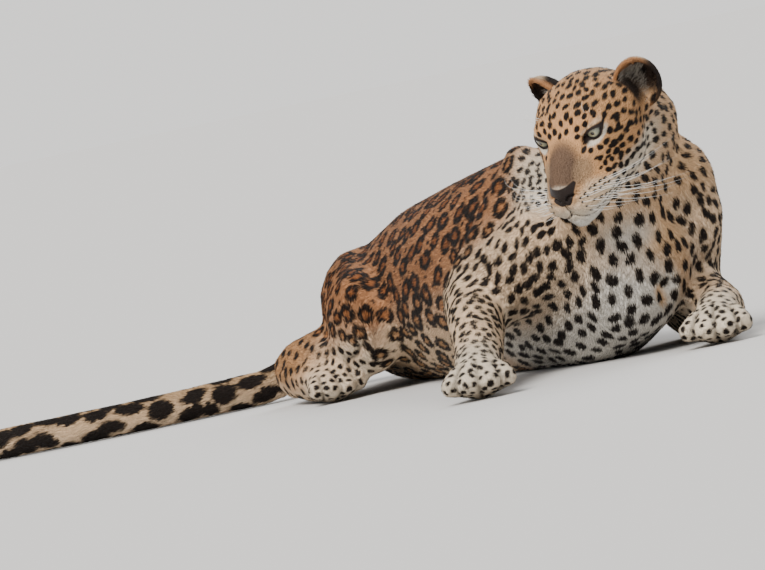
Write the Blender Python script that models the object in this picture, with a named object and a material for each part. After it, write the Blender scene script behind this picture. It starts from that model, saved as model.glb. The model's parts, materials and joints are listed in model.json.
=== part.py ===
"""A leopard lying on its chest and belly, life size, with its head turned to its right.

Metres, +Z up, +X from the rump to the chest, -Y on the animal's right side. The floor is z = 0.
The flesh is modelled whole, as hulls between named balls fused by a voxel remesh, and is then
parted with thin cuts into the body parts that a person would name.
"""

import math

import bmesh
import bpy
from mathutils import Matrix, Vector
from mathutils.bvhtree import BVHTree

# General sizes
GAP = 0.0003
VOXEL = 0.004
SMOOTH_ROUNDS = 7
SMOOTH_FACTOR = 0.5
BALL_DETAIL = 3
CUTTER_DETAIL = 2
FLESH_TRIANGLES = 6400
FACE_WEIGHT = 0.9
PAW_WEIGHT = 0.45
TAIL_WEIGHT = 0.4
BODY_WEIGHT = 0.16
FLOOR_DEPTH = 0.1
REACH = 2.0

# Where the head is and which way it looks. Head points are (forward, left, up) from the
# middle of the line between the two eye centres.
EYES_MIDDLE = Vector((0.219, -0.080, 0.265))
HEAD_TURN = math.radians(-63.0)
HEAD_DIP = math.radians(34.0)
HEAD_FRAME = (
    Matrix.Translation(EYES_MIDDLE)
    @ Matrix.Rotation(HEAD_TURN, 4, "Z")
    @ Matrix.Rotation(HEAD_DIP, 4, "Y")
)

# Eyes
EYE_FORWARD = -0.0045
EYE_SPACING = 0.0335
EYE_RADIUS = 0.0145
EYE_TURN_OUT = math.radians(16.0)
EYE_SEGMENTS = 18
EYE_RINGS = 10
LID_HALF_WIDTH = 0.0122
LID_HALF_HEIGHT = 0.0072
LID_SLANT = math.radians(14.0)
LID_THICKNESS = 0.0022
LID_STEPS = 12
LID_CUT = (0.002, 0.030)

# Nostrils and the line of the mouth, in the head's directions: middle and half sizes, and route
NOSTRIL = ((0.0750, 0.0076, -0.0355), (0.0060, 0.0038, 0.0034))
NOSTRIL_SLIT = ((0.0700, 0.0155, -0.0365), (0.0050, 0.0026, 0.0019))
MOUTH_ROUTE = (
    (0.0710, 0.0000, -0.0590),
    (0.0680, 0.0080, -0.0640),
    (0.0610, 0.0170, -0.0670),
    (0.0470, 0.0240, -0.0675),
    (0.0310, 0.0290, -0.0655),
    (0.0150, 0.0330, -0.0630),
)
MOUTH_AIM = 0.030
MOUTH_RADIUS = 0.0019
TUBE_SIDES = 6

# Ears
EAR_BASE = Vector((-0.0720, 0.0545, -0.0200))
EAR_HALF_WIDTH = 0.0278
EAR_HALF_HEIGHT = 0.0350
EAR_DEPTH = 0.022
EAR_WALL = 0.0042
EAR_TURN = math.radians(24.0)
EAR_LEAN = math.radians(19.0)
EAR_BACK = math.radians(6.0)
EAR_LIFT = 0.0165
EAR_RIM = 0.002
EAR_SEGMENTS = 16
EAR_RINGS = 10

# Trunk: place along the back, side offset, top, bottom and half width of each station
TRUNK = (
    ("breast", 0.130, 0.000, 0.205, 0.020, 0.080),
    ("shoulders", 0.050, 0.000, 0.254, -0.008, 0.102),
    ("ribs", -0.070, 0.000, 0.252, -0.010, 0.116),
    ("waist", -0.210, 0.002, 0.234, -0.010, 0.117),
    ("loins", -0.340, 0.006, 0.216, -0.010, 0.104),
    ("hips", -0.455, 0.016, 0.188, -0.006, 0.098),
    ("rump", -0.550, 0.024, 0.146, 0.018, 0.066),
)
TRUNK_HALF_LENGTH = 0.070

# Tail: points along its middle, and its radius at root, middle and tip
TAIL_ROUTE = (
    (-0.580, 0.012, 0.096),
    (-0.620, -0.018, 0.062),
    (-0.650, -0.062, 0.036),
    (-0.672, -0.112, 0.022),
    (-0.697, -0.190, 0.021),
    (-0.733, -0.274, 0.020),
    (-0.784, -0.354, 0.020),
    (-0.850, -0.424, 0.019),
    (-0.926, -0.482, 0.018),
    (-1.000, -0.546, 0.017),
)
TAIL_ROOT_RADIUS = 0.031
TAIL_RADIUS = 0.0235
TAIL_TIP_RADIUS = 0.0195

# Legs: (middle, half sizes along, across and up) of the joints
RIGHT_ARM = {
    "blade": ((0.045, -0.058, 0.198), (0.055, 0.030, 0.066)),
    "shoulder": ((0.130, -0.074, 0.152), (0.046, 0.042, 0.060)),
    "elbow": ((-0.004, -0.130, 0.096), (0.040, 0.036, 0.048)),
    "wrist": ((0.152, -0.214, 0.042), (0.030, 0.029, 0.031)),
}
LEFT_ARM = {
    "blade": ((0.045, 0.058, 0.198), (0.055, 0.030, 0.066)),
    "shoulder": ((0.134, 0.083, 0.150), (0.048, 0.047, 0.062)),
    "elbow": ((0.012, 0.130, 0.052), (0.041, 0.038, 0.052)),
    "wrist": ((0.188, 0.078, 0.034), (0.030, 0.029, 0.031)),
}
RIGHT_PAW = ((0.206, -0.245, 0.0222), math.radians(-28.0))
LEFT_PAW = ((0.238, 0.044, 0.0225), math.radians(-34.0))

RIGHT_THIGH = {
    "hip": ((-0.474, -0.042, 0.098), (0.086, 0.054, 0.076)),
    "knee": ((-0.350, -0.108, 0.086), (0.052, 0.040, 0.064)),
    "hock": ((-0.528, -0.136, 0.038), (0.028, 0.024, 0.032)),
    "instep": ((-0.440, -0.148, 0.027), (0.027, 0.025, 0.027)),
}
LEFT_THIGH = {
    "hip": ((-0.474, 0.076, 0.098), (0.086, 0.054, 0.076)),
    "knee": ((-0.350, 0.128, 0.086), (0.052, 0.040, 0.064)),
    "hock": ((-0.528, 0.158, 0.038), (0.028, 0.024, 0.032)),
    "instep": ((-0.440, 0.170, 0.027), (0.027, 0.025, 0.027)),
}
RIGHT_FOOT = ((-0.388, -0.155, 0.0198), math.radians(-8.0))
LEFT_FOOT = ((-0.388, 0.177, 0.0195), math.radians(8.0))

PAW_HALF_LENGTH = 0.044
PAW_HALF_WIDTH = 0.032
PAW_HEIGHT = 0.024
TOE_COUNT = 4
TOE_FAN = math.radians(16.0)
TOE_RADIUS = 0.0115
TOE_STEP = 0.0155
HIND_SCALE = 0.88

# Cutters that part the body: boxes in their frames, and the room round a limb
HEAD_BOX = ((-0.078, -0.130, -0.082), (0.150, 0.130, 0.130))
EAR_BOX = ((-0.034, -0.032, 0.027), (0.014, 0.032, 0.070))
PAW_BOX = ((-0.036, -0.060, -0.060), (0.080, 0.060, 0.060))
TAIL_BOX = ((0.0, -0.500, -0.120), (0.900, 0.500, 0.120))
TAIL_CUTS = (("tail_tip", 8), ("tail_rear", 6), ("tail_middle", 4), ("tail_root", 1))
NECK_PLANE = ((0.090, 0.0, 0.200), (0.84, 0.0, 0.54))
NECK_BOX = ((0.0, -0.160, -0.085), (0.250, 0.160, 0.150))
TRUNK_BOX = ((0.0, -0.300, -0.020), (0.700, 0.300, 0.400))
CHEST_BACK = -0.080
BELLY_BACK = -0.350
LIMB_ROOM = 0.005
SHANK_TOPS = {
    "left": ((-0.440, 0.146, 0.056), (0.030, 0.026, 0.030)),
    "right": ((-0.440, -0.124, 0.056), (0.030, 0.026, 0.030)),
}
SHARP_ANGLE = math.radians(50.0)

# Colours of the parts, as red, green and blue
RUST = (0.42, 0.17, 0.06)
TAN = (0.52, 0.30, 0.14)
CREAM = (0.70, 0.58, 0.42)
EAR_BROWN = (0.16, 0.09, 0.06)
IRIS_GREY = (0.46, 0.47, 0.38)
COAT_ROUGHNESS = 0.85
EYE_ROUGHNESS = 0.08


def clear_scene():
    """Removes every object of the scene that the file opened with."""
    for item in list(bpy.data.objects):
        bpy.data.objects.remove(item, do_unlink=True)


def head_point(forward, left, up):
    """World place of a point given in the head's own directions."""
    return HEAD_FRAME @ Vector((forward, left, up))


def mesh_object(name, mesh):
    """A new object around a mesh, linked to the scene."""
    item = bpy.data.objects.new(name, mesh)
    bpy.context.scene.collection.objects.link(item)
    return item


def object_from(name, shape):
    """A new object from a bmesh, which is freed."""
    mesh = bpy.data.meshes.new(name)
    shape.to_mesh(mesh)
    shape.free()
    return mesh_object(name, mesh)


def remove(item):
    """Removes a helper object."""
    bpy.data.objects.remove(item, do_unlink=True)


def finished_mesh(item):
    """The mesh of an object with its modifiers applied."""
    graph = bpy.context.evaluated_depsgraph_get()
    return bpy.data.meshes.new_from_object(item.evaluated_get(graph), depsgraph=graph)


def bake_modifiers(item):
    """Applies the modifiers of an object to its mesh."""
    mesh = finished_mesh(item)
    item.modifiers.clear()
    item.data = mesh


def keep_largest(item):
    """Keeps only the largest closed surface of an object."""
    shape = bmesh.new()
    shape.from_mesh(item.data)
    unseen = set(shape.verts)
    bodies = []
    while unseen:
        seed = unseen.pop()
        body = [seed]
        front = [seed]
        while front:
            vert = front.pop()
            for edge in vert.link_edges:
                other = edge.other_vert(vert)
                if other in unseen:
                    unseen.remove(other)
                    body.append(other)
                    front.append(other)
        bodies.append(body)
    bodies.sort(key=len, reverse=True)
    for body in bodies[1:]:
        bmesh.ops.delete(shape, geom=body, context="VERTS")
    shape.to_mesh(item.data)
    shape.free()


def combine(item, tool, operation):
    """Applies one Boolean of a tool to an object.

    The exact solver leaves open edges at some cuts, so all cuts use the manifold one.
    """
    step = item.modifiers.new(operation, "BOOLEAN")
    step.operation = operation
    step.solver = "MANIFOLD"
    step.object = tool
    bake_modifiers(item)


def union_all(item, extras):
    """Fuses a list of closed objects to an object with one Boolean, and removes them."""
    group = bpy.data.collections.new("extras")
    bpy.context.scene.collection.children.link(group)
    for extra in extras:
        group.objects.link(extra)
    step = item.modifiers.new("fuse", "BOOLEAN")
    step.operation = "UNION"
    step.solver = "EXACT"
    step.operand_type = "COLLECTION"
    step.collection = group
    bake_modifiers(item)
    for extra in extras:
        remove(extra)
    bpy.data.collections.remove(group)


def ball(centre, sizes, frame=None):
    """Frame of a unit ball with its centre and half sizes, turned by a frame if one is given."""
    turn = frame.to_3x3().to_4x4() if frame else Matrix.Identity(4)
    return Matrix.Translation(Vector(centre)) @ turn @ Matrix.Diagonal((*sizes, 1.0))


def head_ball(centre, sizes):
    """A ball given in the head's own directions."""
    return ball(head_point(*centre), sizes, HEAD_FRAME)


def hull(shape, *balls, detail=BALL_DETAIL):
    """Adds the convex hull round the given balls to a bmesh."""
    part = bmesh.new()
    for frame in balls:
        bmesh.ops.create_icosphere(part, subdivisions=detail, radius=1.0, matrix=frame)
    bmesh.ops.delete(part, geom=list(part.edges), context="EDGES_FACES")
    bmesh.ops.convex_hull(part, input=part.verts)
    inside = [vert for vert in part.verts if not vert.link_faces]
    bmesh.ops.delete(part, geom=inside, context="VERTS")
    bmesh.ops.recalc_face_normals(part, faces=part.faces)
    mesh = bpy.data.meshes.new("hull")
    part.to_mesh(mesh)
    part.free()
    shape.from_mesh(mesh)
    bpy.data.meshes.remove(mesh)


def chain(shape, *balls):
    """Adds hulls between each ball and the next."""
    for first, second in zip(balls, balls[1:]):
        hull(shape, first, second)


def mirrored(point, side):
    """A head point moved to the left (1) or right (-1) side."""
    return (point[0], side * point[1], point[2])


def add_trunk(shape):
    """Chest, ribs, belly and rump as one row of hulls."""
    stations = []
    for _, along, side, top, bottom, half_width in TRUNK:
        middle = (along, side, (top + bottom) / 2)
        stations.append(ball(middle, (TRUNK_HALF_LENGTH, half_width, (top - bottom) / 2)))
    chain(shape, *stations)


def add_neck(shape):
    """Neck and throat, from the shoulders up to the back of the skull."""
    nape = ball((0.160, 0.014, 0.260), (0.060, 0.070, 0.062))
    crest = ball((0.112, 0.018, 0.218), (0.064, 0.082, 0.068))
    root = ball((0.045, 0.000, 0.174), (0.070, 0.084, 0.078))
    chain(shape, root, crest, nape, head_ball((-0.060, 0.004, -0.020), (0.046, 0.056, 0.050)))
    left_side = ball((0.138, 0.076, 0.180), (0.050, 0.052, 0.058))
    hull(shape, left_side, crest)
    hull(shape, left_side, ball((0.05, 0.04, 0.16), (0.06, 0.06, 0.07)))
    right_side = ball((0.140, -0.030, 0.170), (0.050, 0.046, 0.054))
    hull(shape, right_side, crest)
    throat = ball((0.172, -0.010, 0.182), (0.040, 0.046, 0.052))
    hull(shape, throat, nape)
    hull(shape, throat, ball((0.125, 0.0, 0.11), (0.062, 0.070, 0.075)))
    hull(shape, throat, head_ball((-0.030, 0.0, -0.050), (0.035, 0.036, 0.030)))


def add_skull(shape):
    """Skull, brows, cheeks, bridge of the nose, muzzle and jaw."""
    cranium = head_ball((-0.052, 0.0, -0.008), (0.052, 0.056, 0.044))
    forehead = head_ball((-0.014, 0.0, 0.006), (0.026, 0.040, 0.025))
    hull(shape, cranium, forehead)
    bridge_top = head_ball((0.006, 0.0, -0.001), (0.015, 0.023, 0.012))
    bridge_end = head_ball((0.062, 0.0, -0.0310), (0.013, 0.0185, 0.0125))
    hull(shape, forehead, bridge_top)
    hull(shape, bridge_top, bridge_end)
    muzzle = head_ball((0.042, 0.0, -0.046), (0.031, 0.028, 0.025))
    hull(shape, muzzle, bridge_end)
    hull(shape, muzzle, head_ball((0.000, 0.0, -0.036), (0.026, 0.046, 0.034)))
    chin = head_ball((0.052, 0.0, -0.0765), (0.0170, 0.0185, 0.0130))
    jaw = head_ball((0.002, 0.0, -0.065), (0.035, 0.037, 0.025))
    hull(shape, chin, jaw)
    hull(shape, chin, muzzle)
    for side in (1, -1):
        cheek = head_ball(mirrored((-0.028, 0.034, -0.030), side), (0.036, 0.032, 0.032))
        temple = head_ball(mirrored((-0.048, 0.032, -0.006), side), (0.036, 0.032, 0.034))
        jowl = head_ball(mirrored((-0.024, 0.028, -0.052), side), (0.038, 0.031, 0.028))
        hull(shape, cheek, temple)
        hull(shape, cheek, jowl)
        hull(shape, jowl, jaw)
        below_eye = head_ball(mirrored((0.010, 0.027, -0.023), side), (0.018, 0.018, 0.017))
        hull(shape, below_eye, cheek)
        hull(shape, below_eye, muzzle)
        brow = head_ball(mirrored((-0.003, 0.0265, 0.012), side), (0.016, 0.016, 0.012))
        hull(shape, brow, forehead)
        lid_bed = head_ball(mirrored((-0.006, 0.0315, -0.001), side), (0.0160, 0.0178, 0.0185))
        hull(shape, lid_bed, brow)
        hull(shape, lid_bed, cheek)
        hull(shape, lid_bed, temple)
        pad = head_ball(mirrored((0.051, 0.0185, -0.053), side), (0.0220, 0.0195, 0.0180))
        hull(shape, pad, muzzle)
        pad_back = head_ball(mirrored((0.025, 0.030, -0.052), side), (0.021, 0.017, 0.018))
        hull(shape, pad, pad_back)
        hull(shape, pad_back, jowl)


def add_paw(shape, middle, heading, scale):
    """A foot: its flat back, four toes in a fan and its first toe."""
    frame = Matrix.Translation(Vector(middle)) @ Matrix.Rotation(heading, 4, "Z")

    def inner(centre, sizes):
        place = frame @ (Vector(centre) * scale)
        return ball(place, [size * scale for size in sizes], frame)

    back = inner((-0.030, 0.0, 0.006), (0.030, 0.027, 0.027))
    front = inner((0.014, 0.0, 0.000), (0.026, PAW_HALF_WIDTH, PAW_HEIGHT))
    hull(shape, back, front)
    for number in range(TOE_COUNT):
        step = number - (TOE_COUNT - 1) / 2
        turn = step * TOE_FAN
        reach = PAW_HALF_LENGTH - 0.004 * step * step
        root = Vector((0.010, step * TOE_STEP, 0.002))
        tip = root + Vector((math.cos(turn), math.sin(turn), -0.18)) * (reach - 0.010)
        hull(shape, inner(root, (0.015, TOE_RADIUS, 0.019)),
             inner(tip, (0.015, TOE_RADIUS, 0.0135)))
    return inner


def add_foreleg(shape, arm, paw, side):
    """One foreleg, from the shoulder blade to the toes. The side is 1 for left, -1 for right."""
    joints = {name: ball(*sizes) for name, sizes in arm.items()}
    hull(shape, joints["blade"], joints["shoulder"])
    hull(shape, joints["shoulder"], joints["elbow"])
    hull(shape, joints["blade"], joints["elbow"])
    hull(shape, joints["elbow"], joints["wrist"])
    inner = add_paw(shape, paw[0], paw[1], 1.0)
    hull(shape, joints["wrist"], inner((-0.020, 0.0, 0.010), (0.024, 0.027, 0.026)))
    dewclaw = inner((-0.044, -side * 0.022, 0.000), (0.013, 0.010, 0.011))
    hull(shape, dewclaw, inner((-0.052, -side * 0.010, 0.004), (0.014, 0.012, 0.014)))


def add_hindleg(shape, thigh, foot):
    """One folded hind leg, from the hip to the toes."""
    joints = {name: ball(*sizes) for name, sizes in thigh.items()}
    hull(shape, joints["hip"], joints["knee"])
    hull(shape, joints["knee"], joints["hock"])
    hull(shape, joints["hock"], joints["instep"])
    inner = add_paw(shape, foot[0], foot[1], HIND_SCALE)
    hull(shape, joints["instep"], inner((-0.020, 0.0, 0.006), (0.024, 0.026, 0.024)))


def tail_radius(share):
    """Radius of the tail at a share of its length."""
    if share < 0.25:
        return TAIL_ROOT_RADIUS + (TAIL_RADIUS - TAIL_ROOT_RADIUS) * share / 0.25
    return TAIL_RADIUS + (TAIL_TIP_RADIUS - TAIL_RADIUS) * (share - 0.25) / 0.75


def add_tail(shape):
    """The tail as a row of hulls along its route."""
    last = len(TAIL_ROUTE) - 1
    beads = []
    for number, place in enumerate(TAIL_ROUTE):
        radius = tail_radius(number / last)
        beads.append(ball(place, (radius, radius, radius)))
    rump = ball((-0.530, 0.020, 0.104), (0.055, 0.050, 0.042))
    chain(shape, rump, *beads)


def add_weights(item):
    """Weights that keep more faces on the face and paws than on the trunk."""
    group = item.vertex_groups.new(name="detail")
    to_head = HEAD_FRAME.inverted()
    paws = [Vector(place[0]) for place in (RIGHT_PAW, LEFT_PAW, RIGHT_FOOT, LEFT_FOOT)]
    for vert in item.data.vertices:
        own = to_head @ vert.co
        weight = BODY_WEIGHT
        if own.x > -0.10 and abs(own.y) < 0.10 and abs(own.z) < 0.10:
            weight = 0.35 + (FACE_WEIGHT - 0.35) * min(1.0, max(0.0, (own.x + 0.05) / 0.05))
        elif min((vert.co - paw).length for paw in paws) < 0.065:
            weight = PAW_WEIGHT
        elif vert.co.x < TAIL_ROUTE[1][0]:
            weight = TAIL_WEIGHT
        group.add([vert.index], weight, "REPLACE")
    return group


def model_flesh():
    """The whole animal without ears and eyes, as one closed surface cut flat at the floor."""
    shape = bmesh.new()
    add_trunk(shape)
    add_neck(shape)
    add_skull(shape)
    add_foreleg(shape, RIGHT_ARM, RIGHT_PAW, -1)
    add_foreleg(shape, LEFT_ARM, LEFT_PAW, 1)
    add_hindleg(shape, RIGHT_THIGH, RIGHT_FOOT)
    add_hindleg(shape, LEFT_THIGH, LEFT_FOOT)
    add_tail(shape)
    body = object_from("body", shape)
    remesh = body.modifiers.new("fuse", "REMESH")
    remesh.mode = "VOXEL"
    remesh.voxel_size = VOXEL
    relax = body.modifiers.new("relax", "SMOOTH")
    relax.factor = SMOOTH_FACTOR
    relax.iterations = SMOOTH_ROUNDS
    bake_modifiers(body)
    keep_largest(body)
    add_weights(body)
    triangles = sum(len(face.vertices) - 2 for face in body.data.polygons)
    thin = body.modifiers.new("thin", "DECIMATE")
    thin.ratio = FLESH_TRIANGLES / triangles
    thin.vertex_group = "detail"
    thin.invert_vertex_group = True
    thin.vertex_group_factor = 1.0
    thin.use_collapse_triangulate = True
    bake_modifiers(body)
    cut_floor(body)
    return body


def cut_floor(body):
    """Cuts the body flat at the floor."""
    shape = bmesh.new()
    bmesh.ops.create_cube(
        shape, size=1.0,
        matrix=Matrix.Translation((0.0, 0.0, -FLOOR_DEPTH / 2))
        @ Matrix.Diagonal((2 * REACH, 2 * REACH, FLOOR_DEPTH, 1.0)))
    floor = object_from("floor", shape)
    combine(body, floor, "DIFFERENCE")
    remove(floor)
    keep_largest(body)


def eye_frame(side):
    """Frame of one eye: +X looks out of it, and its lids slant with it."""
    return (
        HEAD_FRAME
        @ Matrix.Translation((EYE_FORWARD, side * EYE_SPACING, 0.0))
        @ Matrix.Rotation(side * EYE_TURN_OUT, 4, "Z")
        @ Matrix.Rotation(side * LID_SLANT, 4, "X")
    )


def eye_ball(name, side, radius):
    """A closed ball at the place of one eye, with its poles fore and aft."""
    shape = bmesh.new()
    turn = Matrix.Rotation(math.radians(90.0), 4, "Y")
    bmesh.ops.create_uvsphere(shape, u_segments=EYE_SEGMENTS, v_segments=EYE_RINGS,
                              radius=radius, matrix=eye_frame(side) @ turn)
    return object_from(name, shape)


def lid_opening(side):
    """A prism with the outline of the gap between the lids."""
    shape = bmesh.new()
    steps = LID_STEPS
    shares = [2.0 * number / steps - 1.0 for number in range(steps + 1)]
    upper = [(LID_HALF_WIDTH * a, LID_HALF_HEIGHT * (1.0 - a * a)) for a in shares]
    lower = [(LID_HALF_WIDTH * a, -LID_HALF_HEIGHT * (1.0 - a * a)) for a in shares[1:-1]]
    outline = upper + lower[::-1]
    verts = [shape.verts.new((LID_CUT[0], y, z)) for y, z in outline]
    base = shape.faces.new(verts)
    made = bmesh.ops.extrude_face_region(shape, geom=[base])
    moved = [item for item in made["geom"] if isinstance(item, bmesh.types.BMVert)]
    bmesh.ops.translate(shape, verts=moved, vec=(LID_CUT[1] - LID_CUT[0], 0.0, 0.0))
    bmesh.ops.recalc_face_normals(shape, faces=shape.faces)
    bmesh.ops.transform(shape, matrix=eye_frame(side), verts=shape.verts)
    return object_from("opening", shape)


def ear_frame(side):
    """Frame of one ear: +X looks out of its cup, +Z runs up to its tip."""
    return (
        HEAD_FRAME
        @ Matrix.Translation(mirrored(EAR_BASE, side))
        @ Matrix.Rotation(-EAR_BACK, 4, "Y")
        @ Matrix.Rotation(-side * EAR_LEAN, 4, "X")
        @ Matrix.Rotation(side * EAR_TURN, 4, "Z")
    )


def ear_cup(side):
    """One ear as a cupped wall, with its root sunk in the head."""
    shape = bmesh.new()
    size = Matrix.Diagonal((EAR_DEPTH, EAR_HALF_WIDTH, EAR_HALF_HEIGHT, 1.0))
    bmesh.ops.create_uvsphere(shape, u_segments=EAR_SEGMENTS, v_segments=EAR_RINGS, radius=1.0,
                              matrix=Matrix.Translation((0.0, 0.0, EAR_LIFT)) @ size)
    cut = bmesh.ops.bisect_plane(shape, geom=list(shape.verts) + list(shape.edges)
                                 + list(shape.faces), plane_co=(EAR_RIM, 0.0, 0.0),
                                 plane_no=(1.0, 0.0, 0.0), clear_outer=True)
    assert cut["geom_cut"]
    bmesh.ops.transform(shape, matrix=ear_frame(side), verts=shape.verts)
    ear = object_from("ear", shape)
    wall = ear.modifiers.new("wall", "SOLIDIFY")
    wall.thickness = EAR_WALL
    wall.offset = -1.0
    wall.use_even_offset = True
    bake_modifiers(ear)
    return ear


def tube(name, points, radii):
    """A closed tube through points, of a few sides, with a radius at each point."""
    shape = bmesh.new()
    rings = []
    for number, point in enumerate(points):
        ahead = points[min(number + 1, len(points) - 1)]
        behind = points[max(number - 1, 0)]
        turn = (ahead - behind).to_track_quat("Z", "Y").to_matrix().to_4x4()
        made = bmesh.ops.create_circle(
            shape, cap_ends=number in (0, len(points) - 1), segments=TUBE_SIDES,
            radius=radii[number], matrix=Matrix.Translation(point) @ turn)
        ring = {edge for vert in made["verts"] for edge in vert.link_edges
                if edge.other_vert(vert) in made["verts"]}
        rings.append(ring)
    for first, second in zip(rings, rings[1:]):
        bmesh.ops.bridge_loops(shape, edges=list(first | second))
    bmesh.ops.recalc_face_normals(shape, faces=shape.faces)
    return object_from(name, shape)


def surface_points(body, points):
    """Points of the head moved on to its surface, along a line from the middle of the muzzle."""
    tree = BVHTree.FromObject(body, bpy.context.evaluated_depsgraph_get())
    found = []
    for point in points:
        middle = head_point(point[0] - MOUTH_AIM, 0.0, point[2])
        place = head_point(*point)
        away = (place - middle).normalized()
        hit = tree.ray_cast(place + away * MOUTH_AIM, -away)[0]
        found.append(hit if hit else place)
    return found


def add_face(body):
    """Lids, nose leather and ears fused to the head, then sockets, nostrils and mouth cut."""
    extras = []
    for side in (1, -1):
        extras.append(eye_ball("lid", side, EYE_RADIUS + LID_THICKNESS))
        extras.append(ear_cup(side))
    union_all(body, extras)
    for side in (1, -1):
        for tool in (eye_ball("socket", side, EYE_RADIUS + GAP), lid_opening(side)):
            combine(body, tool, "DIFFERENCE")
            remove(tool)
        shape = bmesh.new()
        hull(shape, head_ball(mirrored(NOSTRIL[0], side), NOSTRIL[1]),
             head_ball(mirrored(NOSTRIL_SLIT[0], side), NOSTRIL_SLIT[1]), detail=CUTTER_DETAIL)
        nostril = object_from("nostril", shape)
        combine(body, nostril, "DIFFERENCE")
        remove(nostril)
    left = surface_points(body, MOUTH_ROUTE)
    right = surface_points(body, [mirrored(point, -1) for point in MOUTH_ROUTE[1:]])
    line = right[::-1] + left
    count = len(line) - 1
    radii = [MOUTH_RADIUS * (0.5 + 0.5 * math.sin(math.pi * (0.1 + 0.8 * number / count)))
             for number in range(count + 1)]
    mouth = tube("mouth", line, radii)
    combine(body, mouth, "DIFFERENCE")
    remove(mouth)
    keep_largest(body)


def region(name, balls, grow):
    """A convex cutter round some balls, each larger by a margin."""
    shape = bmesh.new()
    hull(shape, *[ball(middle, [size + grow for size in sizes], frame)
                  for middle, sizes, frame in balls], detail=CUTTER_DETAIL)
    return object_from(name, shape)


def box_region(name, frame, low, high, grow):
    """A box cutter in a frame, larger by a margin on every side."""
    shape = bmesh.new()
    low = Vector(low) - Vector((grow, grow, grow))
    high = Vector(high) + Vector((grow, grow, grow))
    middle = (low + high) / 2
    size = Matrix.Diagonal((*(high - low), 1.0))
    bmesh.ops.create_cube(shape, size=1.0, matrix=frame @ Matrix.Translation(middle) @ size)
    return object_from(name, shape)


def part_off(body, name, cutter):
    """Parts one node off the body. The cutter is a function of the margin it grows by."""
    node = mesh_object(name, body.data.copy())
    tool = cutter(0.0)
    combine(node, tool, "INTERSECT")
    remove(tool)
    keep_largest(node)
    tool = cutter(GAP)
    combine(body, tool, "DIFFERENCE")
    remove(tool)
    keep_largest(body)
    return node


def limb_cutter(*joints):
    """Cutter round the joints of a limb, with room for the flesh round them."""
    def cutter(grow):
        return region("cutter", [(middle, sizes, None) for middle, sizes in joints],
                      LIMB_ROOM + grow)
    return cutter


def paw_cutter(paw, scale):
    """Cutter round a foot, in front of its wrist or hock."""
    middle, heading = paw
    frame = Matrix.Translation(Vector(middle)) @ Matrix.Rotation(heading, 4, "Z")

    def cutter(grow):
        return box_region("cutter", frame, Vector(PAW_BOX[0]) * scale,
                          Vector(PAW_BOX[1]) * scale, grow)
    return cutter


def box_cutter(frame, low, high):
    """Cutter of a box in a frame."""
    def cutter(grow):
        return box_region("cutter", frame, low, high, grow)
    return cutter


def frame_along(place, direction):
    """Frame at a place with +X along a direction and +Z as near up as it can be."""
    ahead = Vector(direction).normalized()
    side = Vector((0.0, 0.0, 1.0)).cross(ahead).normalized()
    up = ahead.cross(side)
    turn = Matrix((ahead, side, up)).transposed().to_4x4()
    return Matrix.Translation(Vector(place)) @ turn


def part_body(body):
    """Parts the whole body into its named nodes."""
    nodes = {}
    for side, word in ((1, "left"), (-1, "right")):
        nodes["ear_" + word] = part_off(body, "ear_" + word,
                                        box_cutter(ear_frame(side), EAR_BOX[0], EAR_BOX[1]))
    nodes["head"] = part_off(body, "head", box_cutter(HEAD_FRAME, HEAD_BOX[0], HEAD_BOX[1]))
    for word, arm, paw in (("left", LEFT_ARM, LEFT_PAW), ("right", RIGHT_ARM, RIGHT_PAW)):
        nodes["forepaw_" + word] = part_off(body, "forepaw_" + word, paw_cutter(paw, 1.0))
        name = "foreleg_lower_" + word
        nodes[name] = part_off(body, name, limb_cutter(arm["elbow"], arm["wrist"]))
        name = "foreleg_upper_" + word
        nodes[name] = part_off(body, name, limb_cutter(arm["shoulder"], arm["elbow"]))
    for word, thigh, foot in (("left", LEFT_THIGH, LEFT_FOOT), ("right", RIGHT_THIGH, RIGHT_FOOT)):
        nodes["hindpaw_" + word] = part_off(body, "hindpaw_" + word, paw_cutter(foot, HIND_SCALE))
        name = "hindleg_lower_" + word
        nodes[name] = part_off(
            body, name, limb_cutter(thigh["hock"], thigh["instep"], SHANK_TOPS[word]))
        name = "hindleg_upper_" + word
        nodes[name] = part_off(body, name, limb_cutter(thigh["hip"], thigh["knee"]))
    for name, first in TAIL_CUTS:
        place = Vector(TAIL_ROUTE[first])
        along = Vector(TAIL_ROUTE[first + 1]) - Vector(TAIL_ROUTE[first - 1])
        nodes[name] = part_off(body, name, box_cutter(frame_along(place, along),
                                                      TAIL_BOX[0], TAIL_BOX[1]))
    nodes["neck"] = part_off(body, "neck", box_cutter(frame_along(*NECK_PLANE),
                                                      NECK_BOX[0], NECK_BOX[1]))
    nodes["chest"] = part_off(body, "chest", box_cutter(Matrix.Translation(
        (CHEST_BACK, 0.0, 0.0)), TRUNK_BOX[0], TRUNK_BOX[1]))
    nodes["belly"] = part_off(body, "belly", box_cutter(Matrix.Translation(
        (BELLY_BACK, 0.0, 0.0)), TRUNK_BOX[0], TRUNK_BOX[1]))
    nodes["rump"] = body
    body.name = "rump"
    for side, word in ((1, "left"), (-1, "right")):
        nodes["eye_" + word] = eye_ball("eye_" + word, side, EYE_RADIUS)
    return nodes


def dress(item, colour, roughness):
    """Gives a node its own plain material."""
    material = bpy.data.materials.new(item.name + "_finish")
    material.use_nodes = True
    shader = material.node_tree.nodes["Principled BSDF"]
    shader.inputs["Base Color"].default_value = (*colour, 1.0)
    shader.inputs["Roughness"].default_value = roughness
    shader.inputs["Metallic"].default_value = 0.0
    item.data.materials.clear()
    item.data.materials.append(material)
    item.data.name = item.name
    item.data.shade_smooth()
    item.data.set_sharp_from_angle(angle=SHARP_ANGLE)


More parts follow.
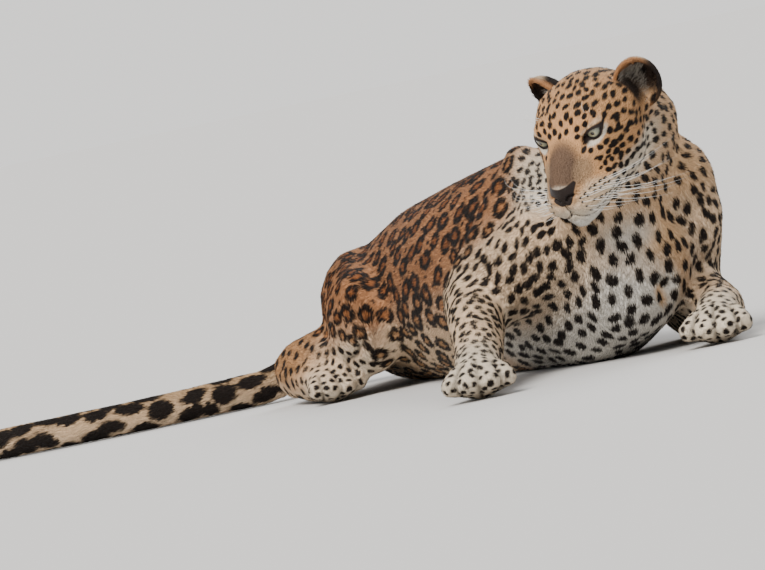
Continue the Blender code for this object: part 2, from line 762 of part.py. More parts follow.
def colour_of(name):
    """Main colour of a node of the coat."""
    if name.startswith("ear"):
        return EAR_BROWN
    if name in ("belly", "rump") or name.startswith(("tail", "hindleg")):
        return RUST
    if name in ("head", "neck"):
        return TAN
    return CREAM


def main():
    """Builds the animal and parts it into its nodes."""
    clear_scene()
    body = model_flesh()
    add_face(body)
    body.vertex_groups.clear()
    nodes = part_body(body)
    for name, item in nodes.items():
        if name.startswith("eye"):
            dress(item, IRIS_GREY, EYE_ROUGHNESS)
        else:
            dress(item, colour_of(name), COAT_ROUGHNESS)


main()
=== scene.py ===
"""Looks of a life-size leopard that lies on its chest with its head raised and turned right.

Metres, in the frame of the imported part: +X runs to the chest, -Y is the animal's right, +Z up.
One skin stands for the nodes of flesh. Short tufts of solid mesh lie over it along the lie of
the coat, and skin and tufts take their colour from one set of markings. Head points are
(forward, left, up) from the middle between the two eyes.
"""

import json
import logging
import math
from collections.abc import Callable
from dataclasses import dataclass, field, replace
from enum import Enum

import bmesh
import bpy
import numpy as np
from mathutils import Matrix, Vector
from mathutils.bvhtree import BVHTree
from mathutils.kdtree import KDTree

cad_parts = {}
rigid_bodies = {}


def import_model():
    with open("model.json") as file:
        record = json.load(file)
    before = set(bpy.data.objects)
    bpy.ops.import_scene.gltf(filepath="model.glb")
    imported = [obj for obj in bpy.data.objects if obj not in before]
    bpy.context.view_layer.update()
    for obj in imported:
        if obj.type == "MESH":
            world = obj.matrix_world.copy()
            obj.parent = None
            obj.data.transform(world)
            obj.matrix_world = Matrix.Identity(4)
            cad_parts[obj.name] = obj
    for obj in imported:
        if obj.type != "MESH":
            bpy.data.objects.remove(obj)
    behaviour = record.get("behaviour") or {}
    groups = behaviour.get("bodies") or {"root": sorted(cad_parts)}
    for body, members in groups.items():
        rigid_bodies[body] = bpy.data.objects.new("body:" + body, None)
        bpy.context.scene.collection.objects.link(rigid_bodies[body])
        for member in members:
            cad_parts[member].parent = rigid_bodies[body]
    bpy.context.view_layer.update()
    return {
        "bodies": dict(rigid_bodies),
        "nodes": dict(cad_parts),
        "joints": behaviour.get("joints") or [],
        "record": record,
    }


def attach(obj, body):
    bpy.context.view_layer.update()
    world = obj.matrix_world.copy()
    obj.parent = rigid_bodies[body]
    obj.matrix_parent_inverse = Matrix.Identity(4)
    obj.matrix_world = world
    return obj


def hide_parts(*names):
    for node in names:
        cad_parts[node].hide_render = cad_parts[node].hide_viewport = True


Array = np.ndarray
Point = tuple[float, float, float]
Colour = tuple[float, float, float]

LOG = logging.getLogger("leopard")
IMAGE_WIDTH = 765
SEED = 417

BODY = "root"
LEFT, RIGHT = 1, -1
FLOOR_CLEAR = 0.0006
WELD = 0.00001

# Tones of the coat, as linear red, green and blue
# The flanks' own rust, darkened by painted shade over the flanks, rump and thighs
RUST_WITH_PAINTED_SHADE = (0.355, 0.160, 0.069)
BACK_TAN = (0.420, 0.215, 0.090)
SHOULDER_TAN = (0.620, 0.395, 0.215)
HEAD_TAN = (0.600, 0.330, 0.150)
CREAM = (0.700, 0.515, 0.340)
PALE = (0.690, 0.585, 0.450)
WHITE = (0.700, 0.660, 0.590)
BRIDGE_BROWN = (0.135, 0.082, 0.052)
SNOUT_TAN = (0.330, 0.215, 0.125)
LID_CREAM = (0.760, 0.690, 0.570)
TAIL_TAN = (0.420, 0.260, 0.130)
MARK_BLACK = (0.010, 0.0055, 0.0035)
LEATHER_BLACK = (0.018, 0.012, 0.010)
EAR_BLACK = (0.014, 0.009, 0.007)
# Painted shade in the hollow of the ear
EAR_HOLLOW_SHADE = (0.040, 0.024, 0.016)
EAR_BROWN = (0.420, 0.200, 0.085)
EAR_HAIR = (0.480, 0.420, 0.350)


def smoothstep(low: float, high: float, value: Array) -> Array:
    """A soft step from 0 at low to 1 at high."""
    share = np.clip((value - low) / (high - low), 0.0, 1.0)
    return share * share * (3.0 - 2.0 * share)


def unit(rows: Array) -> Array:
    """The rows, each at length 1."""
    return rows / np.maximum(np.linalg.norm(rows, axis=-1, keepdims=True), 1e-9)


def mix(first: Array, second: Array | Colour, share: Array) -> Array:
    """The first rows turned towards the second by a share for each row."""
    return first + (np.asarray(second) - first) * share[:, None]


def moved(points: Array, matrix: Matrix) -> Array:
    """The points after a matrix."""
    full = np.array(matrix)
    return points @ full[:3, :3].T + full[:3, 3]


def sided(point: Point, side: int) -> Point:
    """A head point on the left (1) or right (-1) side."""
    return (point[0], side * point[1], point[2])


def mesh_object(name: str, mesh: bpy.types.Mesh) -> bpy.types.Object:
    """A new object with a mesh, in the scene.

    Args:
        name: the object's name.
        mesh: its mesh.

    Returns:
        The object.
    """
    piece = bpy.data.objects.new(name, mesh)
    bpy.context.scene.collection.objects.link(piece)
    return piece


def object_from(name: str, shape: bmesh.types.BMesh) -> bpy.types.Object:
    """A new object made of a bmesh, which is freed.

    Args:
        name: the object's name.
        shape: the bmesh.

    Returns:
        The object.
    """
    mesh = bpy.data.meshes.new(name)
    shape.to_mesh(mesh)
    shape.free()
    return mesh_object(name, mesh)


def bake_modifiers(piece: bpy.types.Object) -> None:
    """Turns the modifiers of a piece into its mesh.

    Args:
        piece: the piece.
    """
    depsgraph = bpy.context.evaluated_depsgraph_get()
    mesh = bpy.data.meshes.new_from_object(piece.evaluated_get(depsgraph))
    piece.modifiers.clear()
    old = piece.data
    piece.data = mesh
    bpy.data.meshes.remove(old)


def set_colour(mesh: bpy.types.Mesh, name: str, tones: Array) -> None:
    """Stores a colour at each vertex.

    Args:
        mesh: the mesh.
        name: the layer's name.
        tones: a colour for each vertex.
    """
    layer = mesh.attributes.new(name, "FLOAT_COLOR", "POINT")
    full = np.ones((len(tones), 4), np.float32)
    full[:, :3] = tones
    layer.data.foreach_set("color", full.ravel())


def set_value(mesh: bpy.types.Mesh, name: str, values: Array) -> None:
    """Stores a number at each vertex."""
    layer = mesh.attributes.new(name, "FLOAT", "POINT")
    layer.data.foreach_set("value", values.astype(np.float32))


@dataclass(frozen=True)
class HeadPose:
    """Where the head is and which way it looks.

    Attributes:
        middle: the middle between the two eyes.
        turn: how far it is turned from straight ahead, to the left.
        dip: how far it looks down.
    """

    middle: Point = (0.219, -0.080, 0.265)
    turn: float = math.radians(-63.0)
    dip: float = math.radians(34.0)

    def frame(self) -> Matrix:
        """The head's own frame, with +X forward, +Y to its left and +Z up.

        Returns:
            The frame in the part's space.
        """
        return (
            Matrix.Translation(self.middle)
            @ Matrix.Rotation(self.turn, 4, "Z")
            @ Matrix.Rotation(self.dip, 4, "Y")
        )

    def own(self, points: Array) -> Array:
        """Points of the world as head points."""
        return moved(points, self.frame().inverted())

    def world(self, points: Array) -> Array:
        """Head points as points of the world."""
        return moved(points, self.frame())

    def aim(self, directions: Array) -> Array:
        """Head directions as directions of the world."""
        return directions @ np.array(self.frame())[:3, :3].T


@dataclass(frozen=True)
class EyeSizes:
    """Sizes and place of an eye and of the gap between its lids."""

    forward: float = -0.0045
    spacing: float = 0.0335
    radius: float = 0.0143
    turn_out: float = math.radians(16.0)
    slant: float = math.radians(14.0)
    half_width: float = 0.0108
    upper: float = 0.0044
    lower: float = 0.0058
    lid: float = 0.0011
    socket_depth: float = 0.0022
    blend: float = 0.0060
    wet_rim: float = 0.0010
    dark_rim: float = 0.0029

    def frame(self, head: HeadPose, side: int) -> Matrix:
        """The eye's frame: +X looks out of it and its lids slant with it.

        Args:
            head: the pose of the head.
            side: LEFT or RIGHT.

        Returns:
            The frame in the part's space.
        """
        return (
            head.frame()
            @ Matrix.Translation((self.forward, side * self.spacing, 0.0))
            @ Matrix.Rotation(side * self.turn_out, 4, "Z")
            @ Matrix.Rotation(side * self.slant, 4, "X")
        )

    def lid_gap(self, own: Array) -> Array:
        """How far points in the eye's frame are outside the gap between the lids.

        Args:
            own: points in the eye's frame.

        Returns:
            Metres, below zero where the eye shows.
        """
        across = np.abs(own[:, 1]) / self.half_width
        bow = 1.0 - across**2
        upper = own[:, 2] - self.upper * bow
        lower = -own[:, 2] - self.lower * bow
        return np.maximum(upper, lower) / np.sqrt(1.0 + across**2)


@dataclass
class Waves:
    """Smooth noise made of a few seeded waves."""

    wavelength: float
    seed: int
    count: int = 10

    def at(self, points: Array) -> Array:
        """The noise at points, mostly between -1 and 1.

        Args:
            points: the points.

        Returns:
            One value for each point.
        """
        draw = np.random.default_rng(self.seed)
        turns = unit(draw.normal(size=(self.count, 3)))
        pace = 2.0 * math.pi / self.wavelength * draw.uniform(0.6, 1.5, self.count)
        phase = draw.uniform(0.0, 2.0 * math.pi, self.count)
        total = np.zeros(len(points))
        for turn, rate, start in zip(turns, pace, phase):
            total += np.sin(points @ turn * rate + start)
        return total / math.sqrt(self.count / 2.0) / 1.6


class MarkKind(Enum):
    """The forms that a mark of the coat takes."""

    ROSETTE = "broken ring round a warm middle"
    SPOT = "solid spot"
    NONE = "no marks"


@dataclass(frozen=True)
class MarkStyle:
    """How the marks are on one part of the coat.

    Attributes:
        kind: their form.
        spacing: metres from the middle of one mark to the next.
        radius: radius of a ring, or half the width of a spot.
        stretch: length over width, along the lie of the coat.
    """

    kind: MarkKind
    spacing: float
    radius: float
    stretch: float = 1.2


@dataclass(frozen=True)
class Zone:
    """The coat on one part of the body.

    Attributes:
        nodes: starts of the names of the nodes that it covers.
        length: length of a tuft.
        depth: how far the skin lies below the solids' surface.
        share: square millimetres for each tuft.
        upper: tone of the outer side.
        lower: tone of the inner or lower side.
        marks: the style of its marks.
    """

    nodes: tuple[str, ...]
    length: float
    depth: float
    share: float
    upper: Colour
    lower: Colour
    marks: MarkStyle


ROSETTES = MarkStyle(MarkKind.ROSETTE, 0.0245, 0.0092, 1.18)
SMALL_ROSETTES = MarkStyle(MarkKind.ROSETTE, 0.0220, 0.0083, 1.18)
ZONES = {
    "head": Zone(("head",), 0.0056, 0.0010, 1.15, HEAD_TAN, PALE,
                 MarkStyle(MarkKind.SPOT, 0.0092, 0.0041, 1.35)),
    "neck": Zone(("neck",), 0.0078, 0.0018, 2.2, SHOULDER_TAN, PALE,
                 MarkStyle(MarkKind.SPOT, 0.0135, 0.0056, 1.40)),
    "chest": Zone(("chest",), 0.0076, 0.0018, 2.6, SHOULDER_TAN, WHITE,
                  MarkStyle(MarkKind.SPOT, 0.0168, 0.0073, 1.40)),
    # Flanks, rump and thighs take the rust that carries painted shade
    "belly": Zone(("belly",), 0.0070, 0.0018, 2.6, RUST_WITH_PAINTED_SHADE, CREAM, ROSETTES),
    "rump": Zone(("rump",), 0.0070, 0.0018, 2.6, RUST_WITH_PAINTED_SHADE, CREAM, ROSETTES),
    "upper_arm": Zone(("foreleg_upper",), 0.0066, 0.0015, 2.2, CREAM, CREAM,
                      MarkStyle(MarkKind.SPOT, 0.0136, 0.0067, 1.55)),
    "forearm": Zone(("foreleg_lower",), 0.0056, 0.0012, 1.8, CREAM, PALE,
                    MarkStyle(MarkKind.SPOT, 0.0116, 0.0057, 1.50)),
    "forepaw": Zone(("forepaw",), 0.0042, 0.0010, 1.4, PALE, PALE,
                    MarkStyle(MarkKind.SPOT, 0.0093, 0.0037, 1.25)),
    "thigh": Zone(("hindleg_upper",), 0.0068, 0.0016, 2.5, RUST_WITH_PAINTED_SHADE, CREAM, SMALL_ROSETTES),
    "shank": Zone(("hindleg_lower",), 0.0056, 0.0012, 2.0, BACK_TAN, CREAM,
                  MarkStyle(MarkKind.SPOT, 0.0152, 0.0062, 1.40)),
    "hindpaw": Zone(("hindpaw",), 0.0042, 0.0010, 1.5, CREAM, PALE,
                    MarkStyle(MarkKind.SPOT, 0.0097, 0.0038, 1.25)),
    "tail": Zone(("tail",), 0.0080, 0.0020, 2.2, TAIL_TAN, CREAM,
                 MarkStyle(MarkKind.SPOT, 0.0235, 0.0140, 1.60)),
}
ZONE_NAMES = tuple(ZONES)


def by_zone(shares: Array, pick: Callable[[Zone], float | Colour]) -> Array:
    """A value of the zones, mixed by each point's share in them."""
    return shares @ np.array([pick(zone) for zone in ZONES.values()])


@dataclass(frozen=True)
class Flow:
    """A line that the coat runs along, from its first point to its last."""

    points: tuple[Point, ...]
    reach: float


TAIL_ROUTE = (
    (-0.580, 0.012, 0.096),
    (-0.620, -0.018, 0.062),
    (-0.650, -0.062, 0.036),
    (-0.672, -0.112, 0.022),
    (-0.697, -0.190, 0.021),
    (-0.733, -0.274, 0.020),
    (-0.784, -0.354, 0.020),
    (-0.850, -0.424, 0.019),
    (-0.926, -0.482, 0.018),
    (-1.000, -0.546, 0.017),
)
FLOWS = (
    Flow(((0.200, -0.030, 0.255), (0.130, 0.014, 0.240), (0.050, 0.000, 0.190),
          (-0.070, 0.000, 0.150), (-0.340, 0.006, 0.130), (-0.500, 0.020, 0.115),
          TAIL_ROUTE[0]), 0.100),
    Flow(TAIL_ROUTE, 0.024),
    Flow(((0.205, -0.030, 0.215), (0.185, -0.010, 0.150), (0.160, 0.000, 0.070)), 0.060),
    Flow(((0.120, -0.078, 0.165), (-0.004, -0.130, 0.096)), 0.040),
    Flow(((-0.004, -0.130, 0.096), (0.152, -0.214, 0.042), (0.250, -0.268, 0.022)), 0.036),
    Flow(((0.130, 0.086, 0.160), (0.012, 0.130, 0.052)), 0.045),
    Flow(((0.012, 0.130, 0.052), (0.188, 0.078, 0.034), (0.280, 0.016, 0.020)), 0.036),
    Flow(((-0.470, -0.070, 0.110), (-0.350, -0.118, 0.080)), 0.050),
    Flow(((-0.350, -0.118, 0.070), (-0.528, -0.140, 0.038)), 0.034),
    Flow(((-0.528, -0.140, 0.036), (-0.440, -0.150, 0.025), (-0.340, -0.162, 0.020)), 0.028),
    Flow(((-0.470, 0.100, 0.110), (-0.350, 0.140, 0.080)), 0.050),
    Flow(((-0.350, 0.140, 0.070), (-0.528, 0.162, 0.038)), 0.034),
    Flow(((-0.528, 0.162, 0.036), (-0.440, 0.172, 0.025), (-0.340, 0.184, 0.020)), 0.028),
)
FLOW_FALL = 5.0
FLANK_DROOP = 0.35
NOSE_POINT = (0.082, 0.0, -0.034)


@dataclass(frozen=True)
class Push:
    """A soft push on the face.

    Attributes:
        centre: its middle, as a head point.
        radii: how far it reaches, forward, left and up.
        shift: how far the middle moves, as a head direction.
        both: whether the other side gets it too.
    """

    centre: Point
    radii: Point
    shift: Point
    both: bool = True


@dataclass(frozen=True)
class Groove:
    """A furrow in the face, such as the line of the mouth, dark and bare unless it has fur."""

    route: tuple[Point, ...]
    width: float
    depth: float
    bare: bool = True


@dataclass(frozen=True)
class Patch:
    """A patch of one tone on the face, in head points."""

    centre: Point
    radii: Point
    tone: Colour
    strength: float = 1.0


@dataclass(frozen=True)
class Line:
    """A line of one tone on the face, in head points."""

    route: tuple[Point, ...]
    half_wide: float
    tone: Colour
    strength: float = 1.0


PUSHES = (
    Push((0.056, 0.0190, -0.0530), (0.018, 0.015, 0.014), (0.0012, 0.0014, 0.0)),
    Push((0.069, 0.0000, -0.0530), (0.012, 0.0040, 0.010), (-0.0024, 0.0, 0.0), False),
    Push((0.060, 0.0000, -0.0780), (0.016, 0.016, 0.012), (0.0026, 0.0, -0.0006), False),
    Push((0.068, 0.0130, -0.0460), (0.010, 0.006, 0.004), (-0.0018, 0.0, 0.0)),
    Push((0.028, 0.0000, -0.0040), (0.030, 0.008, 0.012), (0.0, 0.0, -0.0012), False),
)
MOUTH = Groove(((0.0710, 0.0000, -0.0590), (0.0680, 0.0080, -0.0640), (0.0610, 0.0170, -0.0670),
                (0.0470, 0.0240, -0.0675), (0.0310, 0.0290, -0.0655), (0.0150, 0.0330, -0.0630)),
               0.0013, 0.0026)
PHILTRUM = Groove(((0.0740, 0.0, -0.0450), (0.0725, 0.0, -0.0520), (0.0710, 0.0, -0.0590)),
                  0.0008, 0.0012)
NOSTRIL = Groove(((0.0750, 0.0052, -0.0385), (0.0745, 0.0090, -0.0350),
                  (0.0710, 0.0135, -0.0340), (0.0680, 0.0162, -0.0360)), 0.0017, 0.0040)
TEAR_LINE = Groove(((0.0085, 0.0255, -0.0035), (0.0135, 0.0225, -0.0090),
                    (0.0190, 0.0205, -0.0150)), 0.0016, 0.0008, bare=False)
PATCHES = (
    Patch((0.052, 0.0, -0.015), (0.042, 0.0225, 0.028), BRIDGE_BROWN, 0.90),
    Patch((0.036, 0.022, -0.026), (0.024, 0.011, 0.014), SNOUT_TAN, 0.8),
    Patch((0.050, 0.025, -0.048), (0.025, 0.019, 0.014), (0.66, 0.50, 0.34), 0.95),
    Patch((0.050, 0.025, -0.064), (0.025, 0.020, 0.009), (0.68, 0.61, 0.52), 0.95),
    Patch((0.054, 0.0, -0.082), (0.030, 0.032, 0.016), WHITE, 0.95),
    Patch((-0.020, 0.052, -0.066), (0.050, 0.040, 0.024), PALE, 0.9),
)
LINES = (
    Line(((0.0010, 0.0455, 0.0025), (-0.0110, 0.0520, 0.0085)), 0.0018, MARK_BLACK),
    Line(((0.0060, 0.0275, -0.0020), (0.0115, 0.0235, -0.0080)), 0.0052, MARK_BLACK),
    Line(((0.0115, 0.0235, -0.0080), (0.0155, 0.0215, -0.0120)), 0.0036, MARK_BLACK),
    Line(((0.0700, 0.0000, -0.0215), (0.0670, 0.0170, -0.0240)), 0.0024,
         (0.42, 0.34, 0.26), 0.7),
)
# Inner and outer edge from the dark rim, tone and strength of each band by the lids
BELOW_EYE = (0.0002, 0.0031, LID_CREAM, 0.92)
ABOVE_EYE = (0.0004, 0.0030, (0.66, 0.50, 0.34), 0.65)
NOSE_TOP, NOSE_BOTTOM = -0.0255, -0.0460
NOSE_HALF_TOP, NOSE_HALF_BOTTOM = 0.0192, 0.0035
NOSE_BACK = 0.0560


@dataclass(frozen=True)
class Paw:
    """One foot: its middle, heading and size, with creases between its four toes."""

    middle: Point
    heading: float
    scale: float = 1.0
    fan: float = math.radians(16.0)
    step: float = 0.0155
    crease_width: float = 0.0021
    crease_depth: float = 0.0030

    def own(self, points: Array) -> Array:
        """Points of the world in the foot's frame, with +X towards the toes."""
        frame = Matrix.Translation(self.middle) @ Matrix.Rotation(self.heading, 4, "Z")
        return moved(points, frame.inverted()) / self.scale

    def holds(self, own: Array) -> Array:
        """Whether points of its frame are at its toes."""
        return ((own[:, 0] > -0.002) & (own[:, 0] < 0.075) & (np.abs(own[:, 1]) < 0.046)
                & (np.abs(own[:, 2]) < 0.050))

    def crease(self, points: Array) -> Array:
        """How far points are in a crease between two toes, from 0 to 1.

        Args:
            points: points of the skin.

        Returns:
            One share for each point.
        """
        own = self.own(points)
        best = np.full(len(own), 1.0)
        for number in (-1.0, 0.0, 1.0):
            turn = number * self.fan
            away = own[:, :2] - np.array((0.010, number * self.step))
            along = away @ np.array((math.cos(turn), math.sin(turn)))
            across = np.abs(away @ np.array((-math.sin(turn), math.cos(turn))))
            best = np.minimum(best, np.where(along > 0.0, across, 1.0))
        depth = np.exp(-((best / self.crease_width) ** 2)) * smoothstep(0.006, 0.022, own[:, 0])
        return depth * self.holds(own)


PAWS = (
    Paw((0.206, -0.245, 0.0222), math.radians(-28.0)),
    Paw((0.238, 0.044, 0.0225), math.radians(-34.0)),
    Paw((-0.388, -0.155, 0.0198), math.radians(-8.0), 0.88),
    Paw((-0.388, 0.177, 0.0195), math.radians(8.0), 0.88),
)


@dataclass(frozen=True)
class Stroke:
    """A dark mark drawn at its own place on the face, in head points."""

    centre: Point
    run: Point
    half_long: float
    half_wide: float


STROKES = (
    Stroke((-0.002, 0.012, 0.022), (-1.0, 0.2, 0.4), 0.0048, 0.0022),
    Stroke((-0.010, 0.0345, 0.024), (-1.0, 0.5, 0.2), 0.0052, 0.0025),
    Stroke((-0.012, 0.021, 0.030), (-1.0, 0.3, 0.4), 0.0050, 0.0026),
    Stroke((-0.018, 0.058, 0.000), (-1.0, 0.4, -0.2), 0.0080, 0.0026),
    Stroke((-0.010, 0.056, -0.0140), (-1.0, 0.3, -0.3), 0.0085, 0.0026),
    Stroke((0.004, 0.046, -0.0240), (-1.0, 0.4, -0.3), 0.0065, 0.0026),
    Stroke((0.018, 0.034, -0.0640), (-1.0, 0.5, 0.0), 0.0060, 0.0036),
    Stroke((0.022, 0.030, -0.0250), (-1.0, 0.5, -0.2), 0.0034, 0.0017),
    Stroke((0.012, 0.037, -0.0310), (-1.0, 0.5, -0.2), 0.0040, 0.0020),
    Stroke((0.000, 0.046, -0.0370), (-1.0, 0.5, -0.2), 0.0048, 0.0024),
    Stroke((0.026, 0.031, -0.0350), (-1.0, 0.5, -0.2), 0.0032, 0.0016),
    Stroke((0.014, 0.040, -0.0430), (-1.0, 0.5, -0.2), 0.0040, 0.0021),
    Stroke((0.002, 0.046, -0.0500), (-1.0, 0.5, -0.2), 0.0048, 0.0025),
)
WHISKER_ROWS = 4
WHISKER_COLUMNS = 6


@dataclass
class Blobs:
    """Dark blobs of the coat's marks, as rows of arrays."""

    centre: list = field(default_factory=list)
    run: list = field(default_factory=list)
    half_long: list = field(default_factory=list)
    half_wide: list = field(default_factory=list)

    def add(self, centre: Array, run: Array, half_long: float, half_wide: float) -> None:
        """Adds one blob.

        Args:
            centre: its middle.
            run: the way it is long.
            half_long: half its length.
            half_wide: half its width.
        """
        self.centre.append(centre)
        self.run.append(run)
        self.half_long.append(half_long)
        self.half_wide.append(half_wide)


@dataclass(frozen=True)
class Ring:
    """One rosette: a warm middle in a broken dark ring.

    Attributes:
        centre: its middle.
        run, side: the two directions that it lies in.
        radius, stretch: mean radius, and length over width.
        arcs: direction, half angle and thickness of each dark piece of the ring.
    """

    centre: Array
    run: Array
    side: Array
    radius: float
    stretch: float
    arcs: tuple[tuple[float, float, float], ...]

    def measure(self, points: Array) -> tuple[Array, Array]:
        """Where points are against the ring.

        Args:
            points: places near the ring.

        Returns:
            How far each is from the dark pieces, with 1 at their edge, and from the middle.
        """
        away = points - self.centre
        along = away @ self.run / (self.radius * math.sqrt(self.stretch))
        across = away @ self.side / (self.radius / math.sqrt(self.stretch))
        off = np.hypot(along, across)
        turn = np.arctan2(across, along)
        reach = np.full(len(points), 9.0)
        for middle, half, thick in self.arcs:
            beyond = np.abs((turn - middle + math.pi) % (2.0 * math.pi) - math.pi) - half
            gap = np.hypot(off - 1.0, np.maximum(beyond, 0.0)) / thick
            reach = np.minimum(reach, gap)
        return reach, off


class Crowd:
    """Points kept in cells, so that the nearest one is found fast."""

    def __init__(self, cell: float) -> None:
        """Starts empty.

        Args:
            cell: edge of a cell, and the farthest gap that is told.
        """
        self.cell = cell
        self.cells: dict[tuple[int, ...], list[Point]] = {}

    def key(self, point: Array) -> tuple[int, ...]:
        """The cell of a point."""
        return tuple(int(math.floor(value / self.cell)) for value in point)

    def add(self, point: Array) -> None:
        """Adds a point."""
        self.cells.setdefault(self.key(point), []).append(tuple(point))

    def nearest(self, point: Array) -> float:
        """The gap to the nearest point, or the edge of a cell if none is nearer.

        Args:
            point: the place asked about.

        Returns:
            The gap in metres.
        """
        first, second, third = self.key(point)
        best = self.cell
        for i in (-1, 0, 1):
            for j in (-1, 0, 1):
                for k in (-1, 0, 1):
                    for other in self.cells.get((first + i, second + j, third + k), ()):
                        best = min(best, math.dist(other, point))
        return best


@dataclass
class Surface:
    """A mesh as arrays, with what the coat needs at each vertex.

    Attributes:
        points, normals: of the vertices.
        triangles: three vertex numbers a row.
        maps: the bake map at the three corners of each triangle.
        lie: direction of the coat.
        length, share: length of a tuft, and square millimetres for each.
        ground: tone of the coat between its marks.
        bald: 1 where no tuft grows.
        zone: number of the zone that has most of each vertex.
        spacing, mark: gap from one mark to the next, and the radius of a mark.
    """

    points: Array
    normals: Array
    triangles: Array
    maps: Array
    lie: Array
    length: Array
    share: Array
    ground: Array
    bald: Array
    zone: Array
    spacing: Array
    mark: Array


def vertex_arrays(mesh: bpy.types.Mesh) -> tuple[Array, Array]:
    """The places and normals of a mesh's vertices.

    Args:
        mesh: the mesh.

    Returns:
        Places, then normals.
    """
    points = np.zeros(len(mesh.vertices) * 3, np.float32)
    mesh.vertices.foreach_get("co", points)
    normals = np.zeros(len(mesh.vertices) * 3, np.float32)
    mesh.vertex_normals.foreach_get("vector", normals)
    return points.reshape(-1, 3).astype(float), normals.reshape(-1, 3).astype(float)


def triangle_arrays(mesh: bpy.types.Mesh, uv_name: str) -> tuple[Array, Array]:
    """The triangles of a mesh and the map at their corners.

    Args:
        mesh: the mesh.
        uv_name: the map's name.

    Returns:
        Vertex numbers, then places in the map.
    """
    mesh.calc_loop_triangles()
    count = len(mesh.loop_triangles)
    triangles = np.zeros(count * 3, np.int32)
    mesh.loop_triangles.foreach_get("vertices", triangles)
    corners = np.zeros(count * 3, np.int32)
    mesh.loop_triangles.foreach_get("loops", corners)
    places = np.zeros(len(mesh.loops) * 2, np.float32)
    mesh.uv_layers[uv_name].uv.foreach_get("vector", places)
    return triangles.reshape(-1, 3), places.reshape(-1, 2)[corners].reshape(-1, 3, 2)


def tree_of(points: Array) -> KDTree:
    """A search tree of points.

    Args:
        points: the points.

    Returns:
        The tree, which tells each point's number.
    """
    tree = KDTree(len(points))
    for number, point in enumerate(points):
        tree.insert(point, number)
    tree.balance()
    return tree


def unwrap(piece: bpy.types.Object, name: str) -> None:
    """Gives a piece a map that unwraps its own shape.

    Args:
        piece: the piece.
        name: the map's name.
    """
    piece.data.uv_layers.new(name=name)
    bpy.context.view_layer.objects.active = piece
    bpy.ops.object.mode_set(mode="EDIT")
    bpy.ops.mesh.select_all(action="SELECT")
    bpy.ops.uv.smart_project(angle_limit=math.radians(66.0), island_margin=0.002)
    bpy.ops.object.mode_set(mode="OBJECT")


def areas(surface: Surface) -> Array:
    """The area of each triangle.

    Args:
        surface: the surface.

    Returns:
        Square metres.
    """
    corners = surface.points[surface.triangles]
    return np.linalg.norm(np.cross(corners[:, 1] - corners[:, 0],
                                   corners[:, 2] - corners[:, 0]), axis=1) / 2.0


def sample(surface: Surface, chance: Array, count: int, draw: np.random.Generator
           ) -> tuple[Array, Array]:
    """Draws points spread over a surface.

    Args:
        surface: the surface.
        chance: weight of each triangle for its area.
        count: how many points to draw.
        draw: the seeded source of chance.

    Returns:
        The triangle of each point and its three shares.
    """
    total = np.cumsum(areas(surface) * chance)
    steps = (np.arange(count) + draw.uniform(0.0, 1.0, count)) / count * total[-1]
    chosen = np.minimum(np.searchsorted(total, steps), len(total) - 1)
    first = np.sqrt(draw.uniform(0.0, 1.0, count))
    second = draw.uniform(0.0, 1.0, count)
    shares = np.stack([1.0 - first, first * (1.0 - second), first * second], axis=1)
    return chosen, shares


def at_points(values: Array, triangles: Array, shares: Array) -> Array:
    """Values of the vertices read at points of triangles.

    Args:
        values: one value or row for each vertex.
        triangles: the three vertices of each point.
        shares: the share of each of them.

    Returns:
        The value or row at each point.
    """
    if values.ndim == 1:
        return (values[triangles] * shares).sum(axis=1)
    return (values[triangles] * shares[:, :, None]).sum(axis=1)


def lie_of(points: Array, normals: Array, head: HeadPose, head_share: Array) -> Array:
    """Direction of the coat's lie at points of the skin.

    Args:
        points, normals: of the skin.
        head: the head's pose.
        head_share: how far each point belongs to the head.

    Returns:
        Unit directions that lie in the skin.
    """
    total = np.zeros_like(points)
    for flow in FLOWS:
        for start, end in zip(flow.points, flow.points[1:]):
            first, last = np.array(start), np.array(end)
            span = last - first
            along = np.clip((points - first) @ span / (span @ span), 0.0, 1.0)
            gap = np.linalg.norm(points - first - along[:, None] * span, axis=1)
            weight = (flow.reach / np.maximum(gap, 0.25 * flow.reach)) ** FLOW_FALL
            total += unit(span) * weight[:, None]
    total = unit(total)
    total[:, 2] -= FLANK_DROOP * np.abs(normals[:, 1]) * (1.0 - head_share)
    nose = head.world(np.array([NOSE_POINT]))[0]
    total = mix(total, unit(points - nose), head_share)
    total -= normals * (total * normals).sum(axis=1, keepdims=True)
    return unit(total)


